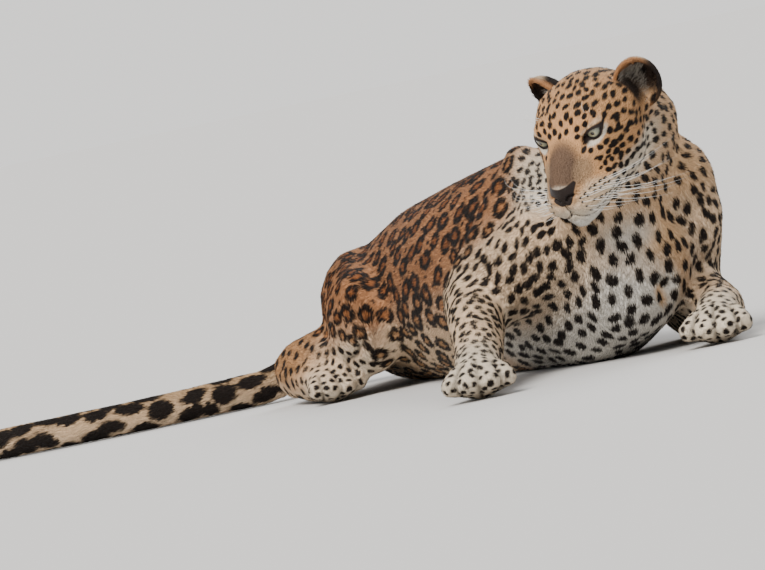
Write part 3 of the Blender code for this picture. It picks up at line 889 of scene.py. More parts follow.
class Markings:
    """The leopard's marks: rosettes, spots and the strokes of the face."""

    CANDIDATES = 90000
    EDGE = 0.14
    WARM = (0.66, 0.50, 0.36)
    CELL = 0.026
    FILLER_GAP = 0.80
    FILLER_SIZE = 0.30

    def __init__(self, head: HeadPose) -> None:
        """Starts with no marks.

        Args:
            head: the pose of the head.
        """
        self.head = head
        self.blobs = Blobs()
        self.rings: list[Ring] = []
        self.edge_noise = Waves(0.0070, SEED + 1)

    def place(self, surface: Surface, keep_clear: Array) -> None:
        """Spreads the marks over the skin.

        Args:
            surface: the skin.
            keep_clear: 1 at vertices that take no scattered mark.
        """
        draw = np.random.default_rng(SEED)
        chance = (1.0 / surface.spacing**2)[surface.triangles].mean(axis=1)
        chosen, shares = sample(surface, chance, self.CANDIDATES, draw)
        rows = surface.triangles[chosen]
        points = at_points(surface.points, rows, shares)
        runs = unit(at_points(surface.lie, rows, shares))
        normals = unit(at_points(surface.normals, rows, shares))
        gaps = at_points(surface.spacing, rows, shares)
        sizes = at_points(surface.mark, rows, shares)
        styles = [ZONES[name].marks for name in ZONE_NAMES]
        zones = surface.zone[rows[:, 0]]
        free = np.flatnonzero(at_points(keep_clear, rows, shares) < 0.5)
        placed = Crowd(self.CELL)
        order = draw.permutation(free)
        for number in order:
            if placed.nearest(points[number]) < gaps[number]:
                continue
            placed.add(points[number])
            self.add_mark(styles[zones[number]], sizes[number], points[number], runs[number],
                          normals[number], draw)
        fillers = Crowd(self.CELL)
        for number in order:
            point, gap = points[number], self.FILLER_GAP * gaps[number]
            if (styles[zones[number]].kind is not MarkKind.ROSETTE
                    or placed.nearest(point) < gap or fillers.nearest(point) < gap):
                continue
            fillers.add(point)
            size = self.FILLER_SIZE * sizes[number] * draw.uniform(0.7, 1.2)
            self.blobs.add(point, runs[number], size * 1.15, size)
        LOG.info("%d rings and %d blobs", len(self.rings), len(self.blobs.centre))

    def add_mark(self, style: MarkStyle, size: float, point: Array, run: Array,
                 normal: Array, draw: np.random.Generator) -> None:
        """Adds one spot or rosette.

        Args:
            style: the style of the mark.
            size: its radius.
            point, run, normal: where it is, and the lie and normal there.
            draw: the seeded source of chance.
        """
        side = np.cross(normal, run)
        turn = draw.normal(0.0, 0.35)
        axis = run * math.cos(turn) + side * math.sin(turn)
        radius = size * draw.uniform(0.86, 1.14)
        stretch = style.stretch * draw.uniform(0.80, 1.30)
        if style.kind is MarkKind.SPOT:
            self.blobs.add(point, axis, radius * math.sqrt(stretch), radius / math.sqrt(stretch))
            return
        count = int(draw.integers(2, 6))
        start = draw.uniform(0.0, 2.0 * math.pi)
        arcs = []
        for number in range(count):
            thick = draw.uniform(0.38, 0.54)
            middle = start + 2.0 * math.pi * (number + draw.uniform(-0.12, 0.12)) / count
            half = math.pi / count * draw.uniform(0.74, 1.06) - 0.7 * thick
            arcs.append((middle, max(half, 0.05), thick))
        self.rings.append(Ring(point, axis, np.cross(normal, axis), radius, stretch,
                               tuple(arcs)))

    def draw_face(self, surface: Surface) -> None:
        """Adds the strokes of the face and the dots that the whiskers grow from.

        Args:
            surface: the skin.
        """
        strokes = [(sided(stroke.centre, side), sided(stroke.run, side), stroke.half_long,
                    stroke.half_wide) for stroke in STROKES for side in (LEFT, RIGHT)]
        for side in (LEFT, RIGHT):
            for root in whisker_roots(side):
                strokes.append((root, (-1.0, side * 0.4, 0.0), 0.0027, 0.0014))
        tree = tree_of(surface.points)
        for centre, run, half_long, half_wide in strokes:
            place = self.head.world(np.array([centre]))[0]
            place = np.array(tree.find(place)[0])
            axis = unit(self.head.aim(np.array([run])))[0]
            self.blobs.add(place, axis, half_long, half_wide)

    def shade(self, points: Array, ground: Array) -> Array:
        """The coat's tone at points.

        Args:
            points: places on or just over the skin.
            ground: the tone between the marks at each.

        Returns:
            The tones with the marks on them.
        """
        tree = tree_of(points)
        warm = np.zeros(len(points))
        dark = np.zeros(len(points))
        ragged = self.edge_noise.at(points)
        for ring in self.rings:
            found = tree.find_range(ring.centre, ring.radius * 1.9)
            if not found:
                continue
            rows = np.array([item[1] for item in found])
            reach, off = ring.measure(points[rows] + 0.0009 * ragged[rows, None] * ring.side)
            warm[rows] = np.maximum(warm[rows], smoothstep(1.30, 0.85, off))
            dark[rows] = np.maximum(dark[rows], smoothstep(1.0 + 2.0 * self.EDGE,
                                                           1.0 - self.EDGE, reach))
        blobs = self.blobs
        for centre, run, half_long, half_wide in zip(blobs.centre, blobs.run,
                                                     blobs.half_long, blobs.half_wide):
            found = tree.find_range(centre, half_long * 1.35)
            if not found:
                continue
            rows = np.array([item[1] for item in found])
            away = points[rows] - centre
            along = away @ run
            across = np.sqrt(np.maximum((away**2).sum(axis=1) - along**2, 0.0))
            reach = np.hypot(along / half_long, across / half_wide)
            reach += 0.13 * ragged[rows]
            dark[rows] = np.maximum(dark[rows],
                                    smoothstep(1.0 + self.EDGE, 1.0 - self.EDGE, reach))
        tone = ground * (1.0 - warm[:, None] * (1.0 - np.array(self.WARM)))
        return mix(tone, MARK_BLACK, dark)


def whisker_roots(side: int) -> list[Point]:
    """The places on the muzzle that whiskers grow from, in rows.

    Args:
        side: LEFT or RIGHT.

    Returns:
        Points in the head's frame.
    """
    roots = []
    for row in range(WHISKER_ROWS):
        for column in range(WHISKER_COLUMNS):
            back = column / (WHISKER_COLUMNS - 1)
            forward = 0.0650 - 0.0310 * back - 0.0010 * row
            left = 0.0195 + 0.0140 * back + 0.0006 * row
            up = -0.0430 - 0.0046 * row - 0.0030 * back
            roots.append((forward, side * left, up))
    return roots


@dataclass
class Skin:
    """The one skin of the animal, from the nose to the tip of the tail."""

    head: HeadPose
    eyes: EyeSizes
    voxel: float = 0.0056
    smoothing: int = 4
    zone_smoothing: int = 45
    head_low: Point = (-0.080, -0.085, -0.100)
    head_high: Point = (0.110, 0.085, 0.060)
    face_back: float = -0.030
    relax: int = 7
    eye_reach: float = 0.021
    nose_reach: float = 0.026
    ear_root: tuple[Point, Point] = ((-0.014, 0.0, -0.007), (0.010, 0.017, 0.011))
    eye_field: float = 0.026
    eye_field_depth: float = 0.035
    lid_edge: tuple[float, float] = (0.0135, 0.0155)
    ear_cup: Point = (0.002, 0.0, 0.012)
    ear_clear: float = 0.024

    def build(self, nodes: dict[str, bpy.types.Object]) -> tuple[bpy.types.Object, Surface]:
        """Builds the skin inside the nodes of flesh.

        Args:
            nodes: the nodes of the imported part.

        Returns:
            The skin and its arrays.
        """
        piece, shares, coarse = self.cover(nodes)
        self.refine(piece)
        mesh = piece.data
        points, normals = vertex_arrays(mesh)
        shares = self.carry(coarse, shares, points)
        self.saddle(points, shares)
        depth = by_zone(shares, lambda zone: zone.depth)
        own = self.head.own(points)
        front = smoothstep(-0.010, 0.030, own[:, 0]) * shares[:, 0]
        depth *= 1.0 - 0.5 * front
        points -= normals * depth[:, None]
        points = self.shape_face(points, normals, shares[:, 0])
        creases = np.zeros(len(points))
        for paw in PAWS:
            crease = paw.crease(points)
            points -= normals * (paw.crease_depth * crease)[:, None]
            creases = np.maximum(creases, crease)
        points[:, 2] = np.maximum(points[:, 2], FLOOR_CLEAR)
        mesh.vertices.foreach_set("co", points.astype(np.float32).ravel())
        mesh.update()
        mesh.shade_smooth()
        unwrap(piece, "OFBake")
        points, normals = vertex_arrays(mesh)
        triangles, maps = triangle_arrays(mesh, "OFBake")
        lie = lie_of(points, normals, self.head, shares[:, 0])
        length = by_zone(shares, lambda zone: zone.length)
        share = by_zone(shares, lambda zone: zone.share)
        length *= 1.0 - 0.42 * front
        share *= 1.0 - 0.38 * front
        bald, lids, leather = self.bare(points)
        length *= 1.0 - 0.4 * smoothstep(0.006, 0.0, self.near_lids(points))
        ground = self.ground(points, normals, shares, lids, leather)
        # Painted shade: the ground tone is darkened in the creases between the toes
        ground *= 1.0 - 0.6 * creases[:, None]
        spacing = by_zone(shares, lambda zone: zone.marks.spacing)
        mark = by_zone(shares, lambda zone: zone.marks.radius)
        finer = 1.0 - 0.18 * front
        surface = Surface(points, normals, triangles, maps, lie, length, share, ground, bald,
                          shares.argmax(axis=1), spacing * finer, mark * finer)
        set_value(mesh, "bare", bald)
        return piece, surface

    def cover(self, nodes: dict[str, bpy.types.Object]
              ) -> tuple[bpy.types.Object, Array, Array]:
        """One closed surface over all the nodes of flesh.

        Args:
            nodes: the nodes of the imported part.

        Returns:
            The surface, each vertex's share in the zones, and the vertices.
        """
        flesh = bmesh.new()
        layer = flesh.faces.layers.int.new("zone")
        for name, node in nodes.items():
            found = [number for number, zone in enumerate(ZONES.values())
                     if name.startswith(zone.nodes)]
            if not found:
                continue
            first = len(flesh.faces)
            flesh.from_mesh(node.data)
            flesh.faces.ensure_lookup_table()
            for face in flesh.faces[first:]:
                face[layer] = found[0]
        for side in (LEFT, RIGHT):
            first = len(flesh.faces)
            bmesh.ops.create_icosphere(
                flesh, subdivisions=3, radius=1.0,
                matrix=Ears.frame_of(self.head, side) @ Matrix.Translation(self.ear_root[0])
                @ Matrix.Diagonal((*self.ear_root[1], 1.0)))
            flesh.faces.ensure_lookup_table()
            for face in flesh.faces[first:]:
                face[layer] = 0
        bmesh.ops.remove_doubles(flesh, verts=flesh.verts, dist=WELD)
        tree = BVHTree.FromBMesh(flesh)
        zone_of_face = [face[layer] for face in flesh.faces]
        piece = object_from("skin", flesh)
        remesh = piece.modifiers.new("cover", "REMESH")
        remesh.mode = "VOXEL"
        remesh.voxel_size = self.voxel
        soften = piece.modifiers.new("soften", "SMOOTH")
        soften.factor = 0.5
        soften.iterations = self.smoothing
        bake_modifiers(piece)
        self.keep_largest(piece)
        mesh = piece.data
        points, _ = vertex_arrays(mesh)
        shares = np.zeros((len(points), len(ZONE_NAMES)))
        for number, point in enumerate(points):
            shares[number, zone_of_face[tree.find_nearest(point)[2]]] = 1.0
        edges = np.zeros(len(mesh.edges) * 2, np.int32)
        mesh.edges.foreach_get("vertices", edges)
        edges = edges.reshape(-1, 2)
        degree = np.bincount(edges.ravel(), minlength=len(points))[:, None] + 1.0
        for _ in range(self.zone_smoothing):
            total = shares.copy()
            for column in range(shares.shape[1]):
                total[:, column] += np.bincount(edges[:, 0], shares[edges[:, 1], column],
                                                len(points))
                total[:, column] += np.bincount(edges[:, 1], shares[edges[:, 0], column],
                                                len(points))
            shares = total / degree
        return piece, shares, points

    @staticmethod
    def saddle(points: Array, shares: Array) -> None:
        """Carries the coat of the flanks forward over the back to the shoulders.

        Args:
            points: the vertices.
            shares: the share of each zone, which is changed.
        """
        belly = ZONE_NAMES.index("belly")
        for name, low, high in (("chest", 0.110, 0.170), ("upper_arm", 0.170, 0.215)):
            column = ZONE_NAMES.index(name)
            forward = (smoothstep(0.120, 0.040, points[:, 0])
                       * smoothstep(low, high, points[:, 2]))
            moving = shares[:, column] * forward
            shares[:, column] -= moving
            shares[:, belly] += moving

    @staticmethod
    def keep_largest(piece: bpy.types.Object) -> None:
        """Keeps only the largest connected surface of a piece.

        Args:
            piece: the piece.
        """
        shape = bmesh.new()
        shape.from_mesh(piece.data)
        left = set(shape.verts)
        islands = []
        while left:
            stack = [left.pop()]
            island = list(stack)
            while stack:
                for edge in stack.pop().link_edges:
                    for vert in edge.verts:
                        if vert in left:
                            left.remove(vert)
                            stack.append(vert)
                            island.append(vert)
            islands.append(island)
        islands.sort(key=len, reverse=True)
        loose = [vert for island in islands[1:] for vert in island]
        bmesh.ops.delete(shape, geom=loose, context="VERTS")
        shape.to_mesh(piece.data)
        shape.free()

    def refine(self, piece: bpy.types.Object) -> None:
        """Finer faces on the head, the face, the toes and round the eyes and nose.

        Args:
            piece: the skin.
        """
        shape = bmesh.new()
        shape.from_mesh(piece.data)
        inverse = self.head.frame().inverted()
        high = self.head_high
        for back in (self.head_low[0], self.face_back):
            low = (back, *self.head_low[1:])
            own = {vert: inverse @ vert.co for vert in shape.verts}
            self.halve(shape, {vert for vert, place in own.items()
                               if all(first < value < last for first, value, last
                                      in zip(low, place, high))})
            near = [vert for vert in shape.verts
                    if (inverse @ vert.co).x > back - 0.01
                    and (inverse @ vert.co - Vector((0.0, 0.0, -0.02))).length < 0.14]
            self.soften(shape, near, self.relax)
        spots = [(self.eyes.frame(self.head, side).translation, self.eye_reach)
                 for side in (LEFT, RIGHT)]
        spots.append((self.head.frame() @ Vector((0.070, 0.0, -0.040)), self.nose_reach))
        for place, reach in spots:
            self.halve(shape, {vert for vert in shape.verts if (vert.co - place).length < reach})
            self.soften(shape, [vert for vert in shape.verts
                                if (vert.co - place).length < reach + 0.002], 2)
        for paw in PAWS:
            near = [vert for vert in shape.verts
                    if (vert.co - Vector(paw.middle)).length < 0.09]
            toes = paw.holds(paw.own(np.array([vert.co for vert in near])))
            self.halve(shape, {vert for vert, inside in zip(near, toes) if inside})
        bmesh.ops.triangulate(shape, faces=[face for face in shape.faces
                                            if len(face.verts) > 4])
        shape.to_mesh(piece.data)
        shape.free()

    @staticmethod
    def halve(shape: bmesh.types.BMesh, inside: set) -> None:
        """Splits the edges between some vertices in two.

        Args:
            shape: the mesh.
            inside: the vertices.
        """
        edges = [edge for edge in shape.edges
                 if edge.verts[0] in inside and edge.verts[1] in inside]
        bmesh.ops.subdivide_edges(shape, edges=edges, cuts=1, use_grid_fill=True)

    @staticmethod
    def soften(shape: bmesh.types.BMesh, verts: list, rounds: int) -> None:
        """Smooths some vertices.

        Args:
            shape: the mesh.
            verts: the vertices.
            rounds: how many times.
        """
        for _ in range(rounds):
            bmesh.ops.smooth_vert(shape, verts=verts, factor=0.5, use_axis_x=True,
                                  use_axis_y=True, use_axis_z=True)

    @staticmethod
    def carry(coarse: Array, shares: Array, points: Array) -> Array:
        """Shares of the zones carried from the coarse vertices to the fine ones.

        Args:
            coarse: the coarse vertices.
            shares: their shares.
            points: the fine vertices.

        Returns:
            The shares of the fine vertices.
        """
        tree = tree_of(coarse)
        found = [tree.find_n(point, 3) for point in points]
        rows = np.array([[item[1] for item in three] for three in found])
        near = 1.0 / (np.array([[item[2] for item in three] for three in found]) + 0.0005)
        near /= near.sum(axis=1, keepdims=True)
        return (shares[rows] * near[:, :, None]).sum(axis=1)

    def snapped(self, route: tuple[Point, ...], side: int, own: Array) -> Array:
        """A route of head points, moved to the nearest vertices of the face.

        Args:
            route: the points for the left side.
            side: LEFT or RIGHT.
            own: vertices in the head's frame.

        Returns:
            The moved points.
        """
        line = []
        for point in route:
            gap = ((own - np.array(sided(point, side))) ** 2).sum(axis=1)
            line.append(own[int(gap.argmin())])
        return np.array(line)

    @staticmethod
    def distance_to(line: Array, own: Array) -> Array:
        """How far points are from a line of points.

        Args:
            line: the line's points in order.
            own: the points.

        Returns:
            Metres.
        """
        best = np.full(len(own), 1.0)
        for first, last in zip(line, line[1:]):
            span = last - first
            along = np.clip((own - first) @ span / max(float(span @ span), 1e-12), 0.0, 1.0)
            best = np.minimum(best, np.linalg.norm(own - first - along[:, None] * span, axis=1))
        return best

    def shape_face(self, points: Array, normals: Array, head_share: Array) -> Array:
        """Pads of the muzzle, chin, nose, mouth, nostrils and lids.

        Args:
            points, normals: of the skin.
            head_share: how far each vertex belongs to the head.

        Returns:
            The points with the face's forms.
        """
        rows = np.flatnonzero(head_share > 0.4)
        own = self.head.own(points[rows])
        out = normals[rows] @ np.array(self.head.frame())[:3, :3]
        for push in PUSHES:
            for side in (LEFT, RIGHT) if push.both else (LEFT,):
                away = (own - np.array(sided(push.centre, side))) / np.array(push.radii)
                own += (np.array(sided(push.shift, side))
                        * np.exp(-(away**2).sum(axis=1))[:, None])
        self.lines = []
        for groove in (MOUTH, PHILTRUM, NOSTRIL, TEAR_LINE):
            for side in (LEFT, RIGHT):
                line = self.snapped(groove.route, side, own)
                self.lines.append((line, groove))
                gap = self.distance_to(line, own)
                own -= out * (groove.depth * np.exp(-((gap / groove.width) ** 2)))[:, None]
        points = points.copy()
        points[rows] = self.head.world(own)
        for side in (LEFT, RIGHT):
            points = self.shape_lids(points, side)
        return points

    def shape_lids(self, points: Array, side: int) -> Array:
        """Lays the skin over one eye and opens the gap between its lids.

        Args:
            points: the vertices.
            side: LEFT or RIGHT.

        Returns:
            The moved vertices.
        """
        frame = self.eyes.frame(self.head, side)
        own = moved(points, frame.inverted())
        flat = np.hypot(own[:, 1], own[:, 2])
        near = (own[:, 0] > 0.0) & (own[:, 0] < self.eye_field_depth) & (flat < self.eye_field)
        rows = np.flatnonzero(near)
        here = own[rows]
        gap = self.eyes.lid_gap(here)
        ball = np.sqrt(np.maximum(self.eyes.radius**2 - here[:, 1] ** 2 - here[:, 2] ** 2, 0.0))
        cover = ball + self.eyes.lid
        keep = np.maximum(smoothstep(0.0, self.eyes.blend, gap),
                          smoothstep(*self.lid_edge, flat[rows]))
        lid = np.maximum(cover, 0.0) * (1.0 - keep) + here[:, 0] * keep
        sunk = ball - self.eyes.socket_depth
        here[:, 0] = np.where(gap < 0.0, sunk, lid)
        own[rows] = here
        return moved(own, frame)

    def near_lids(self, points: Array) -> Array:
        """How far each point is outside the nearer eye's gap.

        Args:
            points: the points.

        Returns:
            Metres, below zero where the eye shows.
        """
        best = np.full(len(points), 1.0)
        for side in (LEFT, RIGHT):
            own = moved(points, self.eyes.frame(self.head, side).inverted())
            near = (own[:, 0] > 0.0) & (np.abs(own[:, 1]) < self.eye_field_depth)
            gap = np.where(near, self.eyes.lid_gap(own), 1.0)
            best = np.minimum(best, np.maximum(gap, -0.01))
        return best

    def bare(self, points: Array) -> tuple[Array, Array, Array]:
        """Where the skin is bare.

        Args:
            points: of the skin.

        Returns:
            Where no tuft grows, the dark rims of the lids, and the nose leather with the lips.
        """
        own = self.head.own(points)
        gap = self.near_lids(points)
        wet = smoothstep(self.eyes.wet_rim + 0.0004, self.eyes.wet_rim - 0.0002, gap)
        lids = smoothstep(self.eyes.dark_rim + 0.0006, self.eyes.dark_rim - 0.0004, gap)
        rise = np.clip((own[:, 2] - NOSE_BOTTOM) / (NOSE_TOP - NOSE_BOTTOM), 0.0, 1.0)
        half = NOSE_HALF_BOTTOM + (NOSE_HALF_TOP - NOSE_HALF_BOTTOM) * np.sqrt(rise)
        inside = np.minimum.reduce([half - np.abs(own[:, 1]), own[:, 2] - NOSE_BOTTOM,
                                    NOSE_TOP + 0.0016 - own[:, 2], own[:, 0] - NOSE_BACK])
        leather = smoothstep(-0.0004, 0.0006, inside)
        for line, groove in self.lines:
            if groove.bare:
                gap = self.distance_to(line, own)
                edge = smoothstep(groove.width + 0.0008, groove.width - 0.0002, gap)
                leather = np.maximum(leather, edge)
        return np.maximum(wet, leather), lids, leather

    def ground(self, points: Array, normals: Array, shares: Array, lids: Array,
               leather: Array) -> Array:
        """The coat's tone between its marks.

        Args:
            points, normals, shares: of the skin.
            lids, leather: where the skin is bare.

        Returns:
            A tone for each vertex.
        """
        upper = by_zone(shares, lambda zone: zone.upper)
        lower = by_zone(shares, lambda zone: zone.lower)
        own = self.head.own(points)
        under = smoothstep(0.10, -0.55, normals[:, 2])
        under = np.maximum(under, 0.7 * smoothstep(0.050, 0.010, points[:, 2]))
        front = normals @ unit(np.array((0.45, -0.35, -0.82)))
        column = {name: shares[:, number] for number, name in enumerate(ZONE_NAMES)}
        breast = column["neck"] + column["chest"]
        throat = smoothstep(0.25, 0.75, front) * smoothstep(0.190, 0.130, points[:, 2])
        under = np.maximum(under * (1.0 - 0.85 * breast), throat * breast)
        jaw = smoothstep(-0.038, -0.058, own[:, 2]) * column["head"]
        under = np.maximum(under * (1.0 - column["head"]), jaw)
        tone = upper + (lower - upper) * under[:, None]
        spine = (column["belly"] + column["rump"] + 0.6 * column["chest"]) * smoothstep(
            0.75, 0.98, normals[:, 2])
        tone = mix(tone, tuple(0.80 * value for value in RUST_WITH_PAINTED_SHADE), 0.5 * np.clip(spine, 0.0, 1.0))
        tone = self.face_tones(tone, own, column["head"])
        for side in (LEFT, RIGHT):
            tone = self.lid_bands(tone, points, side)
        for line in LINES:
            for side in (LEFT, RIGHT):
                gap = self.distance_to(self.snapped(line.route, side, own), own)
                tone = mix(tone, line.tone, line.strength * smoothstep(
                    1.3 * line.half_wide, 0.7 * line.half_wide, gap))
        for side in (LEFT, RIGHT):
            tone = self.cup_shade(tone, points, side)
        drift = 1.0 + 0.07 * Waves(0.060, SEED + 2).at(points)
        tone *= drift[:, None]
        return mix(tone, LEATHER_BLACK, np.maximum(lids, leather))

    @staticmethod
    def face_tones(tone: Array, own: Array, head_share: Array) -> Array:
        """The tones with the patches of the face, such as bridge, muzzle and chin.

        Args:
            tone: the tones so far.
            own: vertices in the head's frame.
            head_share: how far each belongs to the head.

        Returns:
            The new tones.
        """
        for patch in PATCHES:
            for side in (LEFT, RIGHT):
                away = (own - np.array(sided(patch.centre, side))) / np.array(patch.radii)
                reach = np.linalg.norm(away, axis=1)
                tone = mix(tone, patch.tone, patch.strength * smoothstep(1.25, 0.65, reach)
                           * smoothstep(0.3, 0.6, head_share))
        return tone

    def lid_bands(self, tone: Array, points: Array, side: int) -> Array:
        """The tones with the pale bands over and under one eye.

        Args:
            tone: the tones so far.
            points: the vertices.
            side: LEFT or RIGHT.

        Returns:
            The new tones.
        """
        eye = moved(points, self.eyes.frame(self.head, side).inverted())
        gap = self.eyes.lid_gap(eye) - self.eyes.dark_rim
        near = (eye[:, 0] > 0.0) * smoothstep(0.0150, 0.0125, np.abs(eye[:, 1]))
        for (inner, outer, colour, strength), way in ((BELOW_EYE, -1.0), (ABOVE_EYE, 1.0)):
            band = (smoothstep(inner - 0.0005, inner + 0.0003, gap)
                    * smoothstep(outer + 0.0006, outer - 0.0006, gap)
                    * smoothstep(-0.0010, 0.0010, way * eye[:, 2]))
            tone = mix(tone, colour, strength * band * near)
        return tone

    def cup_shade(self, tone: Array, points: Array, side: int) -> Array:
        """The tones with painted shade on the skin where it lies in the hollow of one ear's cup.

        Args:
            tone: the tones so far.
            points: the vertices.
            side: LEFT or RIGHT.

        Returns:
            The new tones.
        """
        ear = moved(points, Ears.frame_of(self.head, side).inverted())
        ear = (ear - np.array((0.0, 0.0, Ears.rise))) / np.array(
            (Ears.depth, Ears.half_width, Ears.half_height))
        within = smoothstep(1.00, 0.88, np.linalg.norm(ear, axis=1))
        # Painted shade over the lower part of the ear's hollow
        return mix(tone, EAR_HOLLOW_SHADE, within * smoothstep(-0.70, -0.25, ear[:, 2]))

    def no_marks(self, surface: Surface) -> Array:
        """Where no scattered mark lies: the bridge, the muzzle and round the eyes.

        Args:
            surface: the skin.

        Returns:
            From 0, where marks may lie, to 1, where none does.
        """
        own = self.head.own(surface.points)
        bridge = (smoothstep(0.013, 0.019, own[:, 0])
                  * smoothstep(0.026, 0.020, np.abs(own[:, 1])))
        muzzle = smoothstep(0.022, 0.030, own[:, 0])
        eyes = smoothstep(0.0080, 0.0068, self.near_lids(surface.points))
        clear = np.maximum.reduce([bridge, muzzle, eyes]) * (surface.zone == 0)
        for side in (LEFT, RIGHT):
            cup = np.array(Ears.frame_of(self.head, side) @ Vector(self.ear_cup))
            off = np.linalg.norm(surface.points - cup, axis=1)
            clear = np.maximum(clear, off < self.ear_clear)
        return clear


@dataclass
class Coat:
    """Short tufts of solid mesh over a surface."""

    markings: Markings
    finish: "CoatFinish"
    most: int = 48000
    aspect: float = 0.20
    lift: float = math.radians(7.5)
    root_depth: float = 0.0005
    ridge: float = 0.26
    patch: float = 0.0015

    def grow(self, name: str, surface: Surface, rows: Array, count: int, seed: int
             ) -> list[bpy.types.Object]:
        """Grows the tufts of one region.

        Args:
            name: name of the piece.
            surface: what they grow on.
            rows: numbers of the triangles that belong to the region.
            count: how many tufts.
            seed: start of the seeded chance.

        Returns:
            The pieces, each under the limit of triangles.
        """
        draw = np.random.default_rng(seed)
        chance = np.zeros(len(surface.triangles))
        chance[rows] = (1.0 / surface.share)[surface.triangles[rows]].mean(axis=1)
        chosen, shares = sample(surface, chance, count, draw)
        corners = surface.triangles[chosen]
        fine = at_points(surface.bald, corners, shares) < 0.35
        chosen, shares, corners = chosen[fine], shares[fine], corners[fine]
        roots = at_points(surface.points, corners, shares)
        normals = unit(at_points(surface.normals, corners, shares))
        lie = unit(at_points(surface.lie, corners, shares))
        turn = draw.normal(0.0, 0.13, len(roots)) + 0.13 * Waves(0.035, SEED + 5).at(roots)
        side = np.cross(normals, lie)
        lie = lie * np.cos(turn)[:, None] + side * np.sin(turn)[:, None]
        side = np.cross(normals, lie)
        length = at_points(surface.length, corners, shares) * draw.uniform(0.78, 1.25, len(roots))
        lift = self.lift * draw.uniform(0.5, 1.6, len(roots))
        ahead = lie * np.cos(lift)[:, None] + normals * np.sin(lift)[:, None]
        width = length * self.aspect * draw.uniform(0.8, 1.2, len(roots))
        ground = at_points(surface.ground, corners, shares)
        tone = self.markings.shade(roots + lie * (0.5 * length)[:, None], ground)
        tone *= draw.uniform(0.90, 1.11, len(roots))[:, None]
        maps = (surface.maps[chosen] * shares[:, :, None]).sum(axis=1)
        base = roots - normals * self.root_depth
        verts = np.stack([
            base + side * (width / 2.0)[:, None],
            base - side * (width / 2.0)[:, None],
            base + (normals * self.ridge * width[:, None]) + normals * self.root_depth
            + lie * (0.22 * length)[:, None],
            roots + ahead * length[:, None],
        ], axis=1)
        verts[:, :, 2] = np.maximum(verts[:, :, 2], FLOOR_CLEAR)
        pieces = []
        parts = max(1, math.ceil(len(roots) / self.most))
        for number, part in enumerate(np.array_split(np.arange(len(roots)), parts)):
            label = name if parts == 1 else f"{name}_{number + 1}"
            pieces.append(self.tuft_mesh(label, verts[part], tone[part], maps[part]))
        return pieces

    def tuft_mesh(self, name: str, verts: Array, tone: Array, maps: Array) -> bpy.types.Object:
        """One joined mesh of tufts, each a closed ridge of four triangles.

        Args:
            name: the object's name.
            verts: four points for each tuft.
            tone: a colour for each tuft.
            maps: a place in the map for each tuft.

        Returns:
            The object.
        """
        count = len(verts)
        pattern = np.array(((0, 2, 3), (2, 1, 3), (0, 1, 2), (1, 0, 3)))
        faces = (np.arange(count)[:, None, None] * 4 + pattern[None]).reshape(-1)
        mesh = bpy.data.meshes.new(name)
        mesh.vertices.add(count * 4)
        mesh.vertices.foreach_set("co", verts.astype(np.float32).ravel())
        mesh.loops.add(len(faces))
        mesh.loops.foreach_set("vertex_index", faces.astype(np.int32))
        mesh.polygons.add(len(faces) // 3)
        mesh.polygons.foreach_set("loop_start", np.arange(0, len(faces), 3, dtype=np.int32))
        mesh.update(calc_edges=True)
        root_shaded_tones = np.repeat(tone[:, None, :], 4, axis=1)
        # Painted shade and light: the root and ridge of each tuft are darkened, as shade deep in
        # the coat, and its tip lightened, as light on the tips
        root_shaded_tones[:, :3] *= 0.86
        root_shaded_tones[:, 3] *= 1.05
        set_colour(mesh, "coat_colour", root_shaded_tones.reshape(-1, 3))
        corner = self.patch * np.array(((-1.0, -1.0), (1.0, -1.0), (0.0, -0.35), (0.0, 1.0)))
        places = (maps[:, None, :] + corner[None])[:, pattern.ravel()].reshape(-1, 2)
        layer = mesh.uv_layers.new(name="OFBake")
        layer.uv.foreach_set("vector", places.astype(np.float32).ravel())
        mesh.shade_smooth()
        piece = mesh_object(name, mesh)
        mesh.materials.append(self.finish.material())
        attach(piece, BODY)
        return piece


def shader_of(material: bpy.types.Material) -> bpy.types.Node:
    """The Principled shader of a material."""
    return next(node for node in material.node_tree.nodes if node.type == "BSDF_PRINCIPLED")


def new_material(name: str, roughness: float) -> tuple[bpy.types.Material, bpy.types.Node]:
    """A new material and its Principled shader.

    Args:
        name: the material's name.
        roughness: its roughness.

    Returns:
        The two of them.
    """
    material = bpy.data.materials.new(name)
    material.use_nodes = True
    shader = shader_of(material)
    shader.inputs["Roughness"].default_value = roughness
    return material, shader


